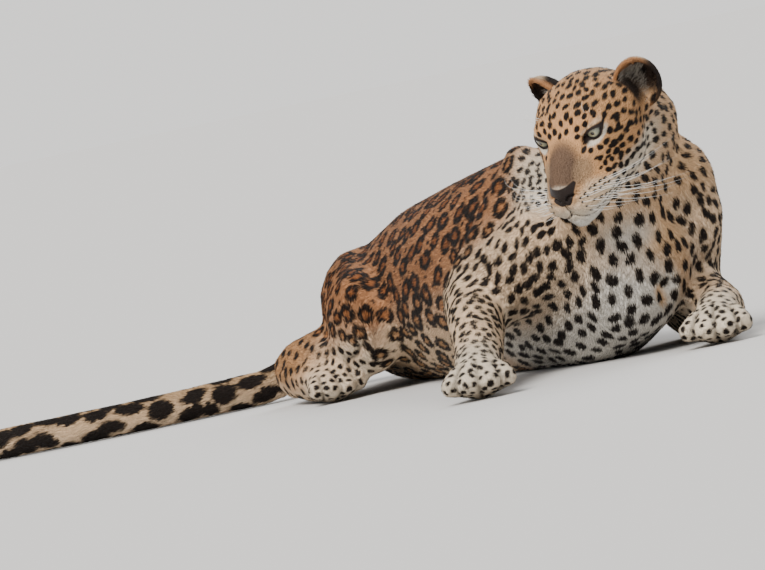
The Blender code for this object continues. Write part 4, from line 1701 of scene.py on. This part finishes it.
def mottle_group() -> bpy.types.NodeTree:
    """A shared effect: fine light and dark strands on a tone, and their height.

    Returns:
        The node group.
    """
    name = "strands"
    if name in bpy.data.node_groups:
        return bpy.data.node_groups[name]
    tree = bpy.data.node_groups.new(name, "ShaderNodeTree")
    sockets = (("Tone", "INPUT", "NodeSocketColor"), ("Scale", "INPUT", "NodeSocketFloat"),
               ("Contrast", "INPUT", "NodeSocketFloat"), ("Tone", "OUTPUT", "NodeSocketColor"),
               ("Height", "OUTPUT", "NodeSocketFloat"))
    for label, way, kind in sockets:
        tree.interface.new_socket(label, in_out=way, socket_type=kind)
    start = tree.nodes.new("NodeGroupInput")
    end = tree.nodes.new("NodeGroupOutput")
    place = tree.nodes.new("ShaderNodeTexCoord")
    noise = tree.nodes.new("ShaderNodeTexNoise")
    noise.inputs["Detail"].default_value = 4.0
    spread = tree.nodes.new("ShaderNodeMapRange")
    spread.inputs["From Min"].default_value = 0.3
    spread.inputs["From Max"].default_value = 0.7
    low = tree.nodes.new("ShaderNodeMath")
    low.operation = "SUBTRACT"
    low.inputs[0].default_value = 1.0
    high = tree.nodes.new("ShaderNodeMath")
    high.operation = "ADD"
    high.inputs[0].default_value = 1.0
    scale = tree.nodes.new("ShaderNodeVectorMath")
    scale.operation = "SCALE"
    link = tree.links.new
    link(place.outputs["Object"], noise.inputs["Vector"])
    link(start.outputs["Scale"], noise.inputs["Scale"])
    link(noise.outputs["Fac"], spread.inputs["Value"])
    link(start.outputs["Contrast"], low.inputs[1])
    link(start.outputs["Contrast"], high.inputs[1])
    link(low.outputs[0], spread.inputs["To Min"])
    link(high.outputs[0], spread.inputs["To Max"])
    link(start.outputs["Tone"], scale.inputs[0])
    link(spread.outputs["Result"], scale.inputs["Scale"])
    link(scale.outputs["Vector"], end.inputs["Tone"])
    link(noise.outputs["Fac"], end.inputs["Height"])
    return tree


@dataclass(frozen=True)
class CoatFinish:
    """Fur: the stored tone, with fine strands.

    Attributes:
        name: name of the material.
        roughness: of the fur.
        contrast: how far the strands differ.
        scale: how fine they are.
        bump: height of the bump in metres.
        sheen: weight of the soft edge light.
        specular: strength of the gloss.
        leather: roughness of bare skin.
    """

    name: str = "fur"
    roughness: float = 0.62
    contrast: float = 0.14
    scale: float = 900.0
    bump: float = 0.0004
    sheen: float = 0.03
    specular: float = 0.14
    leather: float = 0.34

    def material(self) -> bpy.types.Material:
        """The material, made once.

        Returns:
            The material.
        """
        if self.name in bpy.data.materials:
            return bpy.data.materials[self.name]
        material, shader = new_material(self.name, self.roughness)
        nodes, link = material.node_tree.nodes, material.node_tree.links.new
        shader.inputs["Specular IOR Level"].default_value = self.specular
        shader.inputs["Sheen Weight"].default_value = self.sheen
        shader.inputs["Sheen Roughness"].default_value = 0.5
        tone = nodes.new("ShaderNodeAttribute")
        tone.attribute_name = "coat_colour"
        strands = nodes.new("ShaderNodeGroup")
        strands.node_tree = mottle_group()
        strands.inputs["Scale"].default_value = self.scale
        strands.inputs["Contrast"].default_value = self.contrast
        link(tone.outputs["Color"], strands.inputs["Tone"])
        link(strands.outputs["Tone"], shader.inputs["Base Color"])
        bump = nodes.new("ShaderNodeBump")
        bump.inputs["Distance"].default_value = self.bump
        link(strands.outputs["Height"], bump.inputs["Height"])
        link(bump.outputs["Normal"], shader.inputs["Normal"])
        if self.name.startswith("skin"):
            bare = nodes.new("ShaderNodeAttribute")
            bare.attribute_name = "bare"
            gloss = nodes.new("ShaderNodeMapRange")
            gloss.inputs["To Min"].default_value = self.roughness
            gloss.inputs["To Max"].default_value = self.leather
            link(bare.outputs["Fac"], gloss.inputs["Value"])
            link(gloss.outputs["Result"], shader.inputs["Roughness"])
        return material


@dataclass(frozen=True)
class EyeFinish:
    """A wet eye: iris, round pupil and dark edge, by its own polar map, with painted lid shade
    darkening the top of the iris.
    """

    name: str = "wet_eye"
    roughness: float = 0.25
    tears: float = 0.02
    pupil: float = 0.0021
    iris: float = 0.0091
    inner: Colour = (0.34, 0.29, 0.14)
    middle: Colour = (0.36, 0.36, 0.24)
    outer: Colour = (0.17, 0.18, 0.13)
    edge: Colour = (0.010, 0.008, 0.006)

    def material(self) -> bpy.types.Material:
        """The material, made once.

        Returns:
            The material.
        """
        if self.name in bpy.data.materials:
            return bpy.data.materials[self.name]
        material, shader = new_material(self.name, self.roughness)
        nodes, link = material.node_tree.nodes, material.node_tree.links.new
        shader.inputs["Coat Weight"].default_value = 1.0
        shader.inputs["Coat Roughness"].default_value = self.tears
        polar = nodes.new("ShaderNodeAttribute")
        polar.attribute_name = "polar"
        parts = nodes.new("ShaderNodeSeparateXYZ")
        ramp = nodes.new("ShaderNodeValToRGB")
        stops = ((0.0, (0.002, 0.002, 0.002)), (self.pupil * 0.94, (0.002, 0.002, 0.002)),
                 (self.pupil * 1.10, self.inner), (self.pupil * 1.7, self.middle),
                 (self.iris * 0.86, self.outer), (self.iris, self.edge),
                 (self.iris * 1.25, self.edge))
        top = self.iris * 1.25
        ramp.color_ramp.elements.remove(ramp.color_ramp.elements[1])
        ramp.color_ramp.elements[0].color = (*stops[0][1], 1.0)
        for place, tone in stops[1:]:
            stop = ramp.color_ramp.elements.new(place / top)
            stop.color = (*tone, 1.0)
        scale = nodes.new("ShaderNodeMath")
        scale.operation = "DIVIDE"
        scale.inputs[1].default_value = top
        rays = nodes.new("ShaderNodeTexNoise")
        rays.inputs["Scale"].default_value = 1.0
        rays.inputs["Detail"].default_value = 3.0
        stretch = nodes.new("ShaderNodeVectorMath")
        stretch.operation = "MULTIPLY"
        stretch.inputs[1].default_value = (120.0, 9.0, 9.0)
        fleck = nodes.new("ShaderNodeMapRange")
        fleck.inputs["From Min"].default_value = 0.3
        fleck.inputs["From Max"].default_value = 0.7
        fleck.inputs["To Min"].default_value = 0.70
        fleck.inputs["To Max"].default_value = 1.30
        tint = nodes.new("ShaderNodeVectorMath")
        tint.operation = "SCALE"
        # Painted shade of the upper lid: the iris goes from 1.05 near its bottom to 0.45 at its
        # top
        shade = nodes.new("ShaderNodeMapRange")
        shade.inputs["From Min"].default_value = -0.8
        shade.inputs["To Min"].default_value = 1.05
        shade.inputs["To Max"].default_value = 0.45
        both = nodes.new("ShaderNodeMath")
        both.operation = "MULTIPLY"
        link(polar.outputs["Vector"], parts.inputs["Vector"])
        link(parts.outputs["Z"], shade.inputs["Value"])
        link(fleck.outputs["Result"], both.inputs[0])
        link(shade.outputs["Result"], both.inputs[1])
        link(parts.outputs["X"], scale.inputs[0])
        link(scale.outputs[0], ramp.inputs["Fac"])
        link(polar.outputs["Vector"], stretch.inputs[0])
        link(stretch.outputs["Vector"], rays.inputs["Vector"])
        link(rays.outputs["Fac"], fleck.inputs["Value"])
        link(ramp.outputs["Color"], tint.inputs[0])
        link(both.outputs[0], tint.inputs["Scale"])
        link(tint.outputs["Vector"], shader.inputs["Base Color"])
        return material


@dataclass(frozen=True)
class HairFinish:
    """Stiff single hairs, such as whiskers."""

    name: str
    tone: Colour
    roughness: float = 0.35

    def material(self) -> bpy.types.Material:
        """The material, made once.

        Returns:
            The material.
        """
        if self.name in bpy.data.materials:
            return bpy.data.materials[self.name]
        material, shader = new_material(self.name, self.roughness)
        nodes, link = material.node_tree.nodes, material.node_tree.links.new
        strands = nodes.new("ShaderNodeGroup")
        strands.node_tree = mottle_group()
        strands.inputs["Tone"].default_value = (*self.tone, 1.0)
        strands.inputs["Scale"].default_value = 90.0
        strands.inputs["Contrast"].default_value = 0.12
        link(strands.outputs["Tone"], shader.inputs["Base Color"])
        return material


@dataclass
class Eyes:
    """The two eyes, each with a cornea that stands a little proud."""

    head: HeadPose
    sizes: EyeSizes
    segments: int = 64
    rings: int = 48
    cornea: float = 0.0007
    gaze_in: float = math.radians(4.0)

    def build(self) -> None:
        """Builds both eyes in place of their nodes."""
        for side, node in ((LEFT, "eye_left"), (RIGHT, "eye_right")):
            shape = bmesh.new()
            turn = Matrix.Rotation(math.radians(90.0), 4, "Y")
            bmesh.ops.create_uvsphere(shape, u_segments=self.segments, v_segments=self.rings,
                                      radius=self.sizes.radius - self.cornea, matrix=turn)
            piece = object_from(f"{node}_ball", shape)
            mesh = piece.data
            points, _ = vertex_arrays(mesh)
            around = np.arctan2(points[:, 2], points[:, 1])
            off = np.hypot(points[:, 1], points[:, 2])
            front = points[:, 0] > 0.0
            bulge = 1.0 + self.cornea / self.sizes.radius * smoothstep(
                EyeFinish().iris * 1.05, 0.0, off) * front
            points *= bulge[:, None]
            polar = np.stack([np.where(front, off, 0.02), np.cos(around), np.sin(around)], axis=1)
            layer = mesh.attributes.new("polar", "FLOAT_VECTOR", "POINT")
            layer.data.foreach_set("vector", polar.astype(np.float32).ravel())
            gaze = Matrix.Rotation(-side * self.gaze_in, 4, "Z")
            points = moved(points, self.sizes.frame(self.head, side) @ gaze)
            mesh.vertices.foreach_set("co", points.astype(np.float32).ravel())
            mesh.update()
            mesh.shade_smooth()
            mesh.materials.append(EyeFinish().material())
            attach(piece, BODY)
            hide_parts(node)
            LOG.info("built %s", piece.name)


@dataclass
class Ears:
    """The two ears: thin cups with short fur behind and longer hairs within."""

    head: HeadPose
    markings: Markings
    base: Point = (-0.0720, 0.0545, -0.0200)
    half_width: float = 0.0266
    half_height: float = 0.0338
    depth: float = 0.0208
    wall: float = 0.0028
    turn: float = math.radians(24.0)
    lean: float = math.radians(19.0)
    back: float = math.radians(6.0)
    rise: float = 0.0165
    rim: float = 0.001
    segments: int = 48
    rings: int = 18
    tufts: int = 9000
    long_hairs: int = 900

    @classmethod
    def frame_of(cls, head: HeadPose, side: int) -> Matrix:
        """The ear's frame: +X looks out of its cup and +Z runs up to its tip.

        Args:
            head: the pose of the head.
            side: LEFT or RIGHT.

        Returns:
            The frame in the part's space.
        """
        return (
            head.frame()
            @ Matrix.Translation(sided(cls.base, side))
            @ Matrix.Rotation(-cls.back, 4, "Y")
            @ Matrix.Rotation(-side * cls.lean, 4, "X")
            @ Matrix.Rotation(side * cls.turn, 4, "Z")
        )

    def build(self, coat: Coat) -> None:
        """Builds both ears in place of their nodes.

        Args:
            coat: the coat that grows on them.
        """
        for side, node in ((LEFT, "ear_left"), (RIGHT, "ear_right")):
            piece = mesh_object(f"{node}_skin", self.cup(f"{node}_skin"))
            wall = piece.modifiers.new("wall", "SOLIDIFY")
            wall.thickness = self.wall
            wall.offset = -1.0
            bake_modifiers(piece)
            mesh = piece.data
            own, normals = vertex_arrays(mesh)
            outer = smoothstep(-0.2, 0.2, self.outward(own, normals))
            ground = self.tones(own, outer, side)
            piece.data.transform(self.frame_of(self.head, side))
            mesh.update()
            mesh.shade_smooth()
            unwrap(piece, "OFBake")
            points, normals = vertex_arrays(mesh)
            triangles, maps = triangle_arrays(mesh, "OFBake")
            turned = np.array(self.frame_of(self.head, side))[:3, :3]
            up = np.tile(turned[:, 2], (len(points), 1))
            lie = unit(up - normals * (up * normals).sum(axis=1, keepdims=True))
            length = 0.0048 + 0.0022 * (1.0 - outer)
            flat = np.zeros(len(points))
            surface = Surface(points, normals, triangles, maps, lie, length, flat + 1.0, ground,
                              flat, flat.astype(int), flat, flat)
            set_colour(mesh, "coat_colour", ground)
            set_value(mesh, "bare", flat)
            mesh.materials.append(CoatFinish("skin_fur").material())
            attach(piece, BODY)
            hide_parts(node)
            rows = np.arange(len(triangles))
            grown = coat.grow(f"coat_{node}", surface, rows, self.tufts, SEED + 31 + side)
            hair = np.array((0.30, side * 0.45, 0.84)) @ turned.T
            long_hair = replace(surface, lie=np.tile(unit(hair), (len(points), 1)),
                                length=flat + 0.016, ground=flat[:, None] + np.array(EAR_HAIR))
            cup = ((outer < 0.3) & (side * own[:, 1] < 0.2 * self.half_width)
                   & (own[:, 2] < self.rise + 0.35 * self.half_height))
            rows = np.flatnonzero(cup[triangles].all(axis=1))
            thin = replace(coat, aspect=0.045)
            grown += thin.grow(f"hairs_{node}", long_hair, rows, self.long_hairs,
                               SEED + 35 + side)
            LOG.info("built %s", piece.name)

    def cup(self, name: str) -> bpy.types.Mesh:
        """The outer surface of an ear in its own frame, an ellipsoid open to the front.

        Args:
            name: the mesh's name.

        Returns:
            The mesh, without thickness.
        """
        widest = math.acos(-self.rim / self.depth)
        verts = [(-self.depth, 0.0, self.rise)]
        for ring in range(1, self.rings + 1):
            off = widest * ring / self.rings
            for step in range(self.segments):
                turn = 2.0 * math.pi * step / self.segments
                verts.append((-self.depth * math.cos(off),
                              self.half_width * math.sin(off) * math.cos(turn),
                              self.rise + self.half_height * math.sin(off) * math.sin(turn)))
        faces = []
        for step in range(self.segments):
            after = (step + 1) % self.segments
            faces.append((0, 1 + after, 1 + step))
            for ring in range(self.rings - 1):
                low = 1 + ring * self.segments
                high = low + self.segments
                faces.append((low + step, low + after, high + after, high + step))
        mesh = bpy.data.meshes.new(name)
        mesh.from_pydata(verts, [], faces)
        return mesh

    def outward(self, own: Array, normals: Array) -> Array:
        """How far the ear's own points face out of the back of the cup."""
        away = unit(own - np.array((0.0, 0.0, self.rise)))
        return (away * normals).sum(axis=1)

    def tones(self, own: Array, outer: Array, side: int) -> Array:
        """Tones of the ear: black behind with a pale tip, painted shade within, brown towards the
        crown.

        Args:
            own: points in the ear's frame.
            outer: how far each is on the back of the cup.
            side: 1 for the left ear, -1 for the right one.

        Returns:
            A tone for each point.
        """
        up = (own[:, 2] - self.rise) / self.half_height
        crown = -side * own[:, 1] / self.half_width
        edge = smoothstep(-0.34, -0.02, own[:, 0] / self.depth)
        behind = np.tile(np.array(EAR_BLACK), (len(own), 1))
        behind = mix(behind, CREAM, smoothstep(0.66, 0.86, up) * 0.8)
        behind = mix(behind, HEAD_TAN, smoothstep(-0.20, -0.60, up) * 0.9)
        # Painted shade on the inner side of the cup, turning brown towards the crown
        within = np.tile(np.array(EAR_HOLLOW_SHADE), (len(own), 1))
        within = mix(within, EAR_BROWN, smoothstep(0.05, 0.50, crown))
        within = mix(within, BACK_TAN, smoothstep(-0.40, -0.80, up))
        tone = within + (behind - within) * outer[:, None]
        rim = mix(np.tile(np.array(EAR_BLACK), (len(own), 1)), EAR_BROWN,
                  smoothstep(-0.75, -0.10, crown))
        return tone + (rim - tone) * (0.9 * edge)[:, None]


@dataclass
class Whiskers:
    """Long white whiskers and a few hairs over each eye."""

    head: HeadPose
    rings: int = 10
    sides: int = 4
    radius: float = 0.00028
    longest: float = 0.105
    shortest: float = 0.035

    def build(self, surface: Surface) -> None:
        """Builds the whiskers as one joined mesh.

        Args:
            surface: the skin.
        """
        draw = np.random.default_rng(SEED + 40)
        curves = []
        for side in (LEFT, RIGHT):
            for number, root in enumerate(whisker_roots(side)):
                back = (number % WHISKER_COLUMNS) / (WHISKER_COLUMNS - 1)
                row = number // WHISKER_COLUMNS
                length = self.shortest + (self.longest - self.shortest) * back
                length *= draw.uniform(0.80, 1.0)
                out = np.array((0.05, 0.95, 0.10 - 0.12 * row)) + draw.normal(0.0, 0.07, 3)
                bend = np.array((-0.85, 0.45, -0.10 - 0.10 * row)) + draw.normal(0.0, 0.07, 3)
                curves.append((root, side, out, bend, length))
            for step in range(3):
                root = (-0.006 + draw.normal(0.0, 0.002), side * (0.028 + 0.005 * step),
                        0.019 + draw.normal(0.0, 0.0015))
                out = np.array((0.5, 0.45, 0.8)) + draw.normal(0.0, 0.15, 3)
                bend = np.array((0.0, 0.8, 0.6)) + draw.normal(0.0, 0.15, 3)
                curves.append((root, side, out, bend, draw.uniform(0.020, 0.036)))
        tree = tree_of(surface.points)
        verts, faces = [], []
        for root, side, out, bend, length in curves:
            start = np.array(tree.find(self.head.world(np.array([root]))[0])[0])
            flip = np.array((1.0, side, 1.0))
            first = self.head.aim(unit(out * flip)[None])[0]
            last = self.head.aim(unit(bend * flip)[None])[0]
            self.add_hair(verts, faces, start, first, last, length)
        mesh = bpy.data.meshes.new("whiskers")
        mesh.from_pydata(verts, [], faces)
        mesh.shade_smooth()
        piece = mesh_object("whiskers", mesh)
        mesh.materials.append(HairFinish("whisker_hair", (0.80, 0.78, 0.74)).material())
        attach(piece, BODY)
        LOG.info("built %d whiskers", len(curves))

    def add_hair(self, verts: list, faces: list, start: Array, first: Array, last: Array,
                 length: float) -> None:
        """Adds one tapered, bending hair.

        Args:
            verts, faces: the joined mesh so far.
            start: its root on the skin.
            first, last: its directions at the root and towards the tip.
            length: its length.
        """
        across = unit(np.cross(first, last + np.array((0.01, 0.02, 0.03))))
        offset = len(verts)
        place = start - first * 0.001
        for ring in range(self.rings):
            share = ring / (self.rings - 1)
            heading = unit(first * (1.0 - share) + last * share)
            up = np.cross(heading, across)
            radius = self.radius * (1.0 - 0.9 * share)
            for number in range(self.sides):
                turn = 2.0 * math.pi * number / self.sides
                verts.append(tuple(place + radius * (across * math.cos(turn)
                                                     + up * math.sin(turn))))
            place = place + heading * length / (self.rings - 1)
        for ring in range(self.rings - 1):
            for number in range(self.sides):
                low = offset + ring * self.sides
                following = (number + 1) % self.sides
                faces.append((low + number, low + following,
                              low + self.sides + following, low + self.sides + number))
        faces.append(tuple(range(offset + self.sides - 1, offset - 1, -1)))
        tip = offset + (self.rings - 1) * self.sides
        faces.append(tuple(range(tip, tip + self.sides)))


@dataclass
class Shot:
    """The camera, where the photograph's viewer stands."""

    azimuth: float = math.radians(65.0)
    height: float = math.radians(2.0)
    roll: float = math.radians(-12.0)
    distance: float = 7.0
    pixels_per_metre_off: float = 6300.0
    sensor: float = 36.0
    depth: float = 0.24
    sideways: float = -0.218
    up: float = 0.135

    def build(self) -> None:
        """Adds the camera to the scene."""
        back = Vector((math.sin(self.azimuth) * math.cos(self.height),
                       -math.cos(self.azimuth) * math.cos(self.height),
                       math.sin(self.height)))
        right = Vector((math.cos(self.azimuth), math.sin(self.azimuth), 0.0))
        top = back.cross(right)
        target = back * self.depth + right * self.sideways
        target.z += self.up
        camera = bpy.data.cameras.new("camera")
        camera.sensor_width = self.sensor
        camera.lens = self.pixels_per_metre_off * self.sensor / IMAGE_WIDTH
        camera.clip_end = 200.0
        piece = bpy.data.objects.new("camera", camera)
        frame = Matrix((right, top, back)).transposed().to_4x4()
        piece.matrix_world = (Matrix.Translation(target + back * self.distance) @ frame
                              @ Matrix.Rotation(self.roll, 4, "Z"))
        bpy.context.scene.collection.objects.link(piece)
        bpy.context.scene.camera = piece


@dataclass(frozen=True)
class Lamp:
    """A wide soft light: where it comes from, how wide it looks and how strong it is."""

    name: str
    way: Point
    spread: float
    power: float
    tone: Colour = (1.0, 1.0, 1.0)


@dataclass
class Studio:
    """A plain pale floor under soft lights, with a backdrop of the floor's own tone."""

    floor_radius: float = 90.0
    floor_tone: Colour = (0.60, 0.59, 0.575)
    sky_tone: Colour = (0.95, 0.97, 1.0)
    sky_strength: float = 0.80
    backdrop_strength: float = 2.00
    lamps: tuple[Lamp, ...] = (
        Lamp("key", (0.55, -0.85, 1.05), math.radians(34.0), 4.1, (1.0, 0.97, 0.93)),
        Lamp("edge", (-0.55, 0.80, 0.75), math.radians(30.0), 1.45, (1.0, 0.98, 0.95)),
    )

    def build(self) -> None:
        """Adds the floor, the lights and the sky."""
        shape = bmesh.new()
        bmesh.ops.create_circle(shape, cap_ends=True, segments=96, radius=self.floor_radius)
        floor = object_from("floor", shape)
        material, shader = new_material("floor", 1.0)
        shader.inputs["Specular IOR Level"].default_value = 0.0
        shader.inputs["Base Color"].default_value = (*self.floor_tone, 1.0)
        floor.data.materials.append(material)
        for lamp in self.lamps:
            light = bpy.data.lights.new(lamp.name, "SUN")
            light.angle = lamp.spread
            light.energy = lamp.power
            light.color = lamp.tone
            item = bpy.data.objects.new(lamp.name, light)
            item.rotation_euler = Vector(lamp.way).to_track_quat("Z", "Y").to_euler()
            bpy.context.scene.collection.objects.link(item)
        self.add_sky()

    def add_sky(self) -> None:
        """Adds the sky, which lights the scene and looks like the far floor to the camera."""
        world = bpy.data.worlds.new("studio")
        world.use_nodes = True
        nodes, link = world.node_tree.nodes, world.node_tree.links.new
        sky = nodes["Background"]
        sky.inputs["Color"].default_value = (*self.sky_tone, 1.0)
        sky.inputs["Strength"].default_value = self.sky_strength
        backdrop = nodes.new("ShaderNodeBackground")
        backdrop.inputs["Color"].default_value = (*self.floor_tone, 1.0)
        backdrop.inputs["Strength"].default_value = self.backdrop_strength
        seen = nodes.new("ShaderNodeLightPath")
        both = nodes.new("ShaderNodeMixShader")
        link(seen.outputs["Is Camera Ray"], both.inputs["Fac"])
        link(sky.outputs["Background"], both.inputs[1])
        link(backdrop.outputs["Background"], both.inputs[2])
        link(both.outputs["Shader"], nodes["World Output"].inputs["Surface"])
        bpy.context.scene.world = world


COAT_PIECES = {
    "coat_head": ("head",),
    "coat_neck": ("neck",),
    "coat_chest": ("chest",),
    "coat_flanks": ("belly",),
    "coat_rump": ("rump", "thigh"),
    "coat_forelegs": ("upper_arm", "forearm"),
    "coat_paws": ("forepaw", "hindpaw", "shank"),
    "coat_tail": ("tail",),
}
TUFTS = 310000


def grow_coat(coat: Coat, surface: Surface) -> None:
    """Grows the coat of each region, with tufts shared out by its area.

    Args:
        coat: how tufts are made.
        surface: the skin.
    """
    wanted = areas(surface) / surface.share[surface.triangles].mean(axis=1)
    wanted *= 1.0 - surface.bald[surface.triangles].mean(axis=1)
    total = wanted.sum()
    zone = surface.zone[surface.triangles[:, 0]]
    for number, (name, zones) in enumerate(COAT_PIECES.items()):
        rows = np.flatnonzero(np.isin(zone, [ZONE_NAMES.index(item) for item in zones]))
        count = int(TUFTS * wanted[rows].sum() / total)
        for piece in coat.grow(name, surface, rows, count, SEED + 60 + number):
            LOG.info("built %s with %d tufts", piece.name, len(piece.data.vertices) // 4)


def main() -> None:
    """Builds the scene in order."""
    logging.basicConfig(level=logging.INFO, format="%(name)s: %(message)s")
    Shot().build()
    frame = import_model()
    Studio().build()
    head = HeadPose()
    sizes = EyeSizes()
    skin = Skin(head, sizes)
    piece, surface = skin.build(frame["nodes"])
    LOG.info("skin has %d triangles", len(surface.triangles))
    markings = Markings(head)
    markings.place(surface, skin.no_marks(surface))
    markings.draw_face(surface)
    tone = markings.shade(surface.points, surface.ground)
    set_colour(piece.data, "coat_colour", tone)
    piece.data.materials.append(CoatFinish("skin_fur").material())
    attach(piece, BODY)
    flesh = [name for name in frame["nodes"]
             if any(name.startswith(zone.nodes) for zone in ZONES.values())]
    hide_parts(*flesh)
    coat = Coat(markings, CoatFinish())
    grow_coat(coat, surface)
    Ears(head, markings).build(coat)
    Eyes(head, sizes).build()
    Whiskers(head).build(surface)


if __name__ == "__main__":
    main()
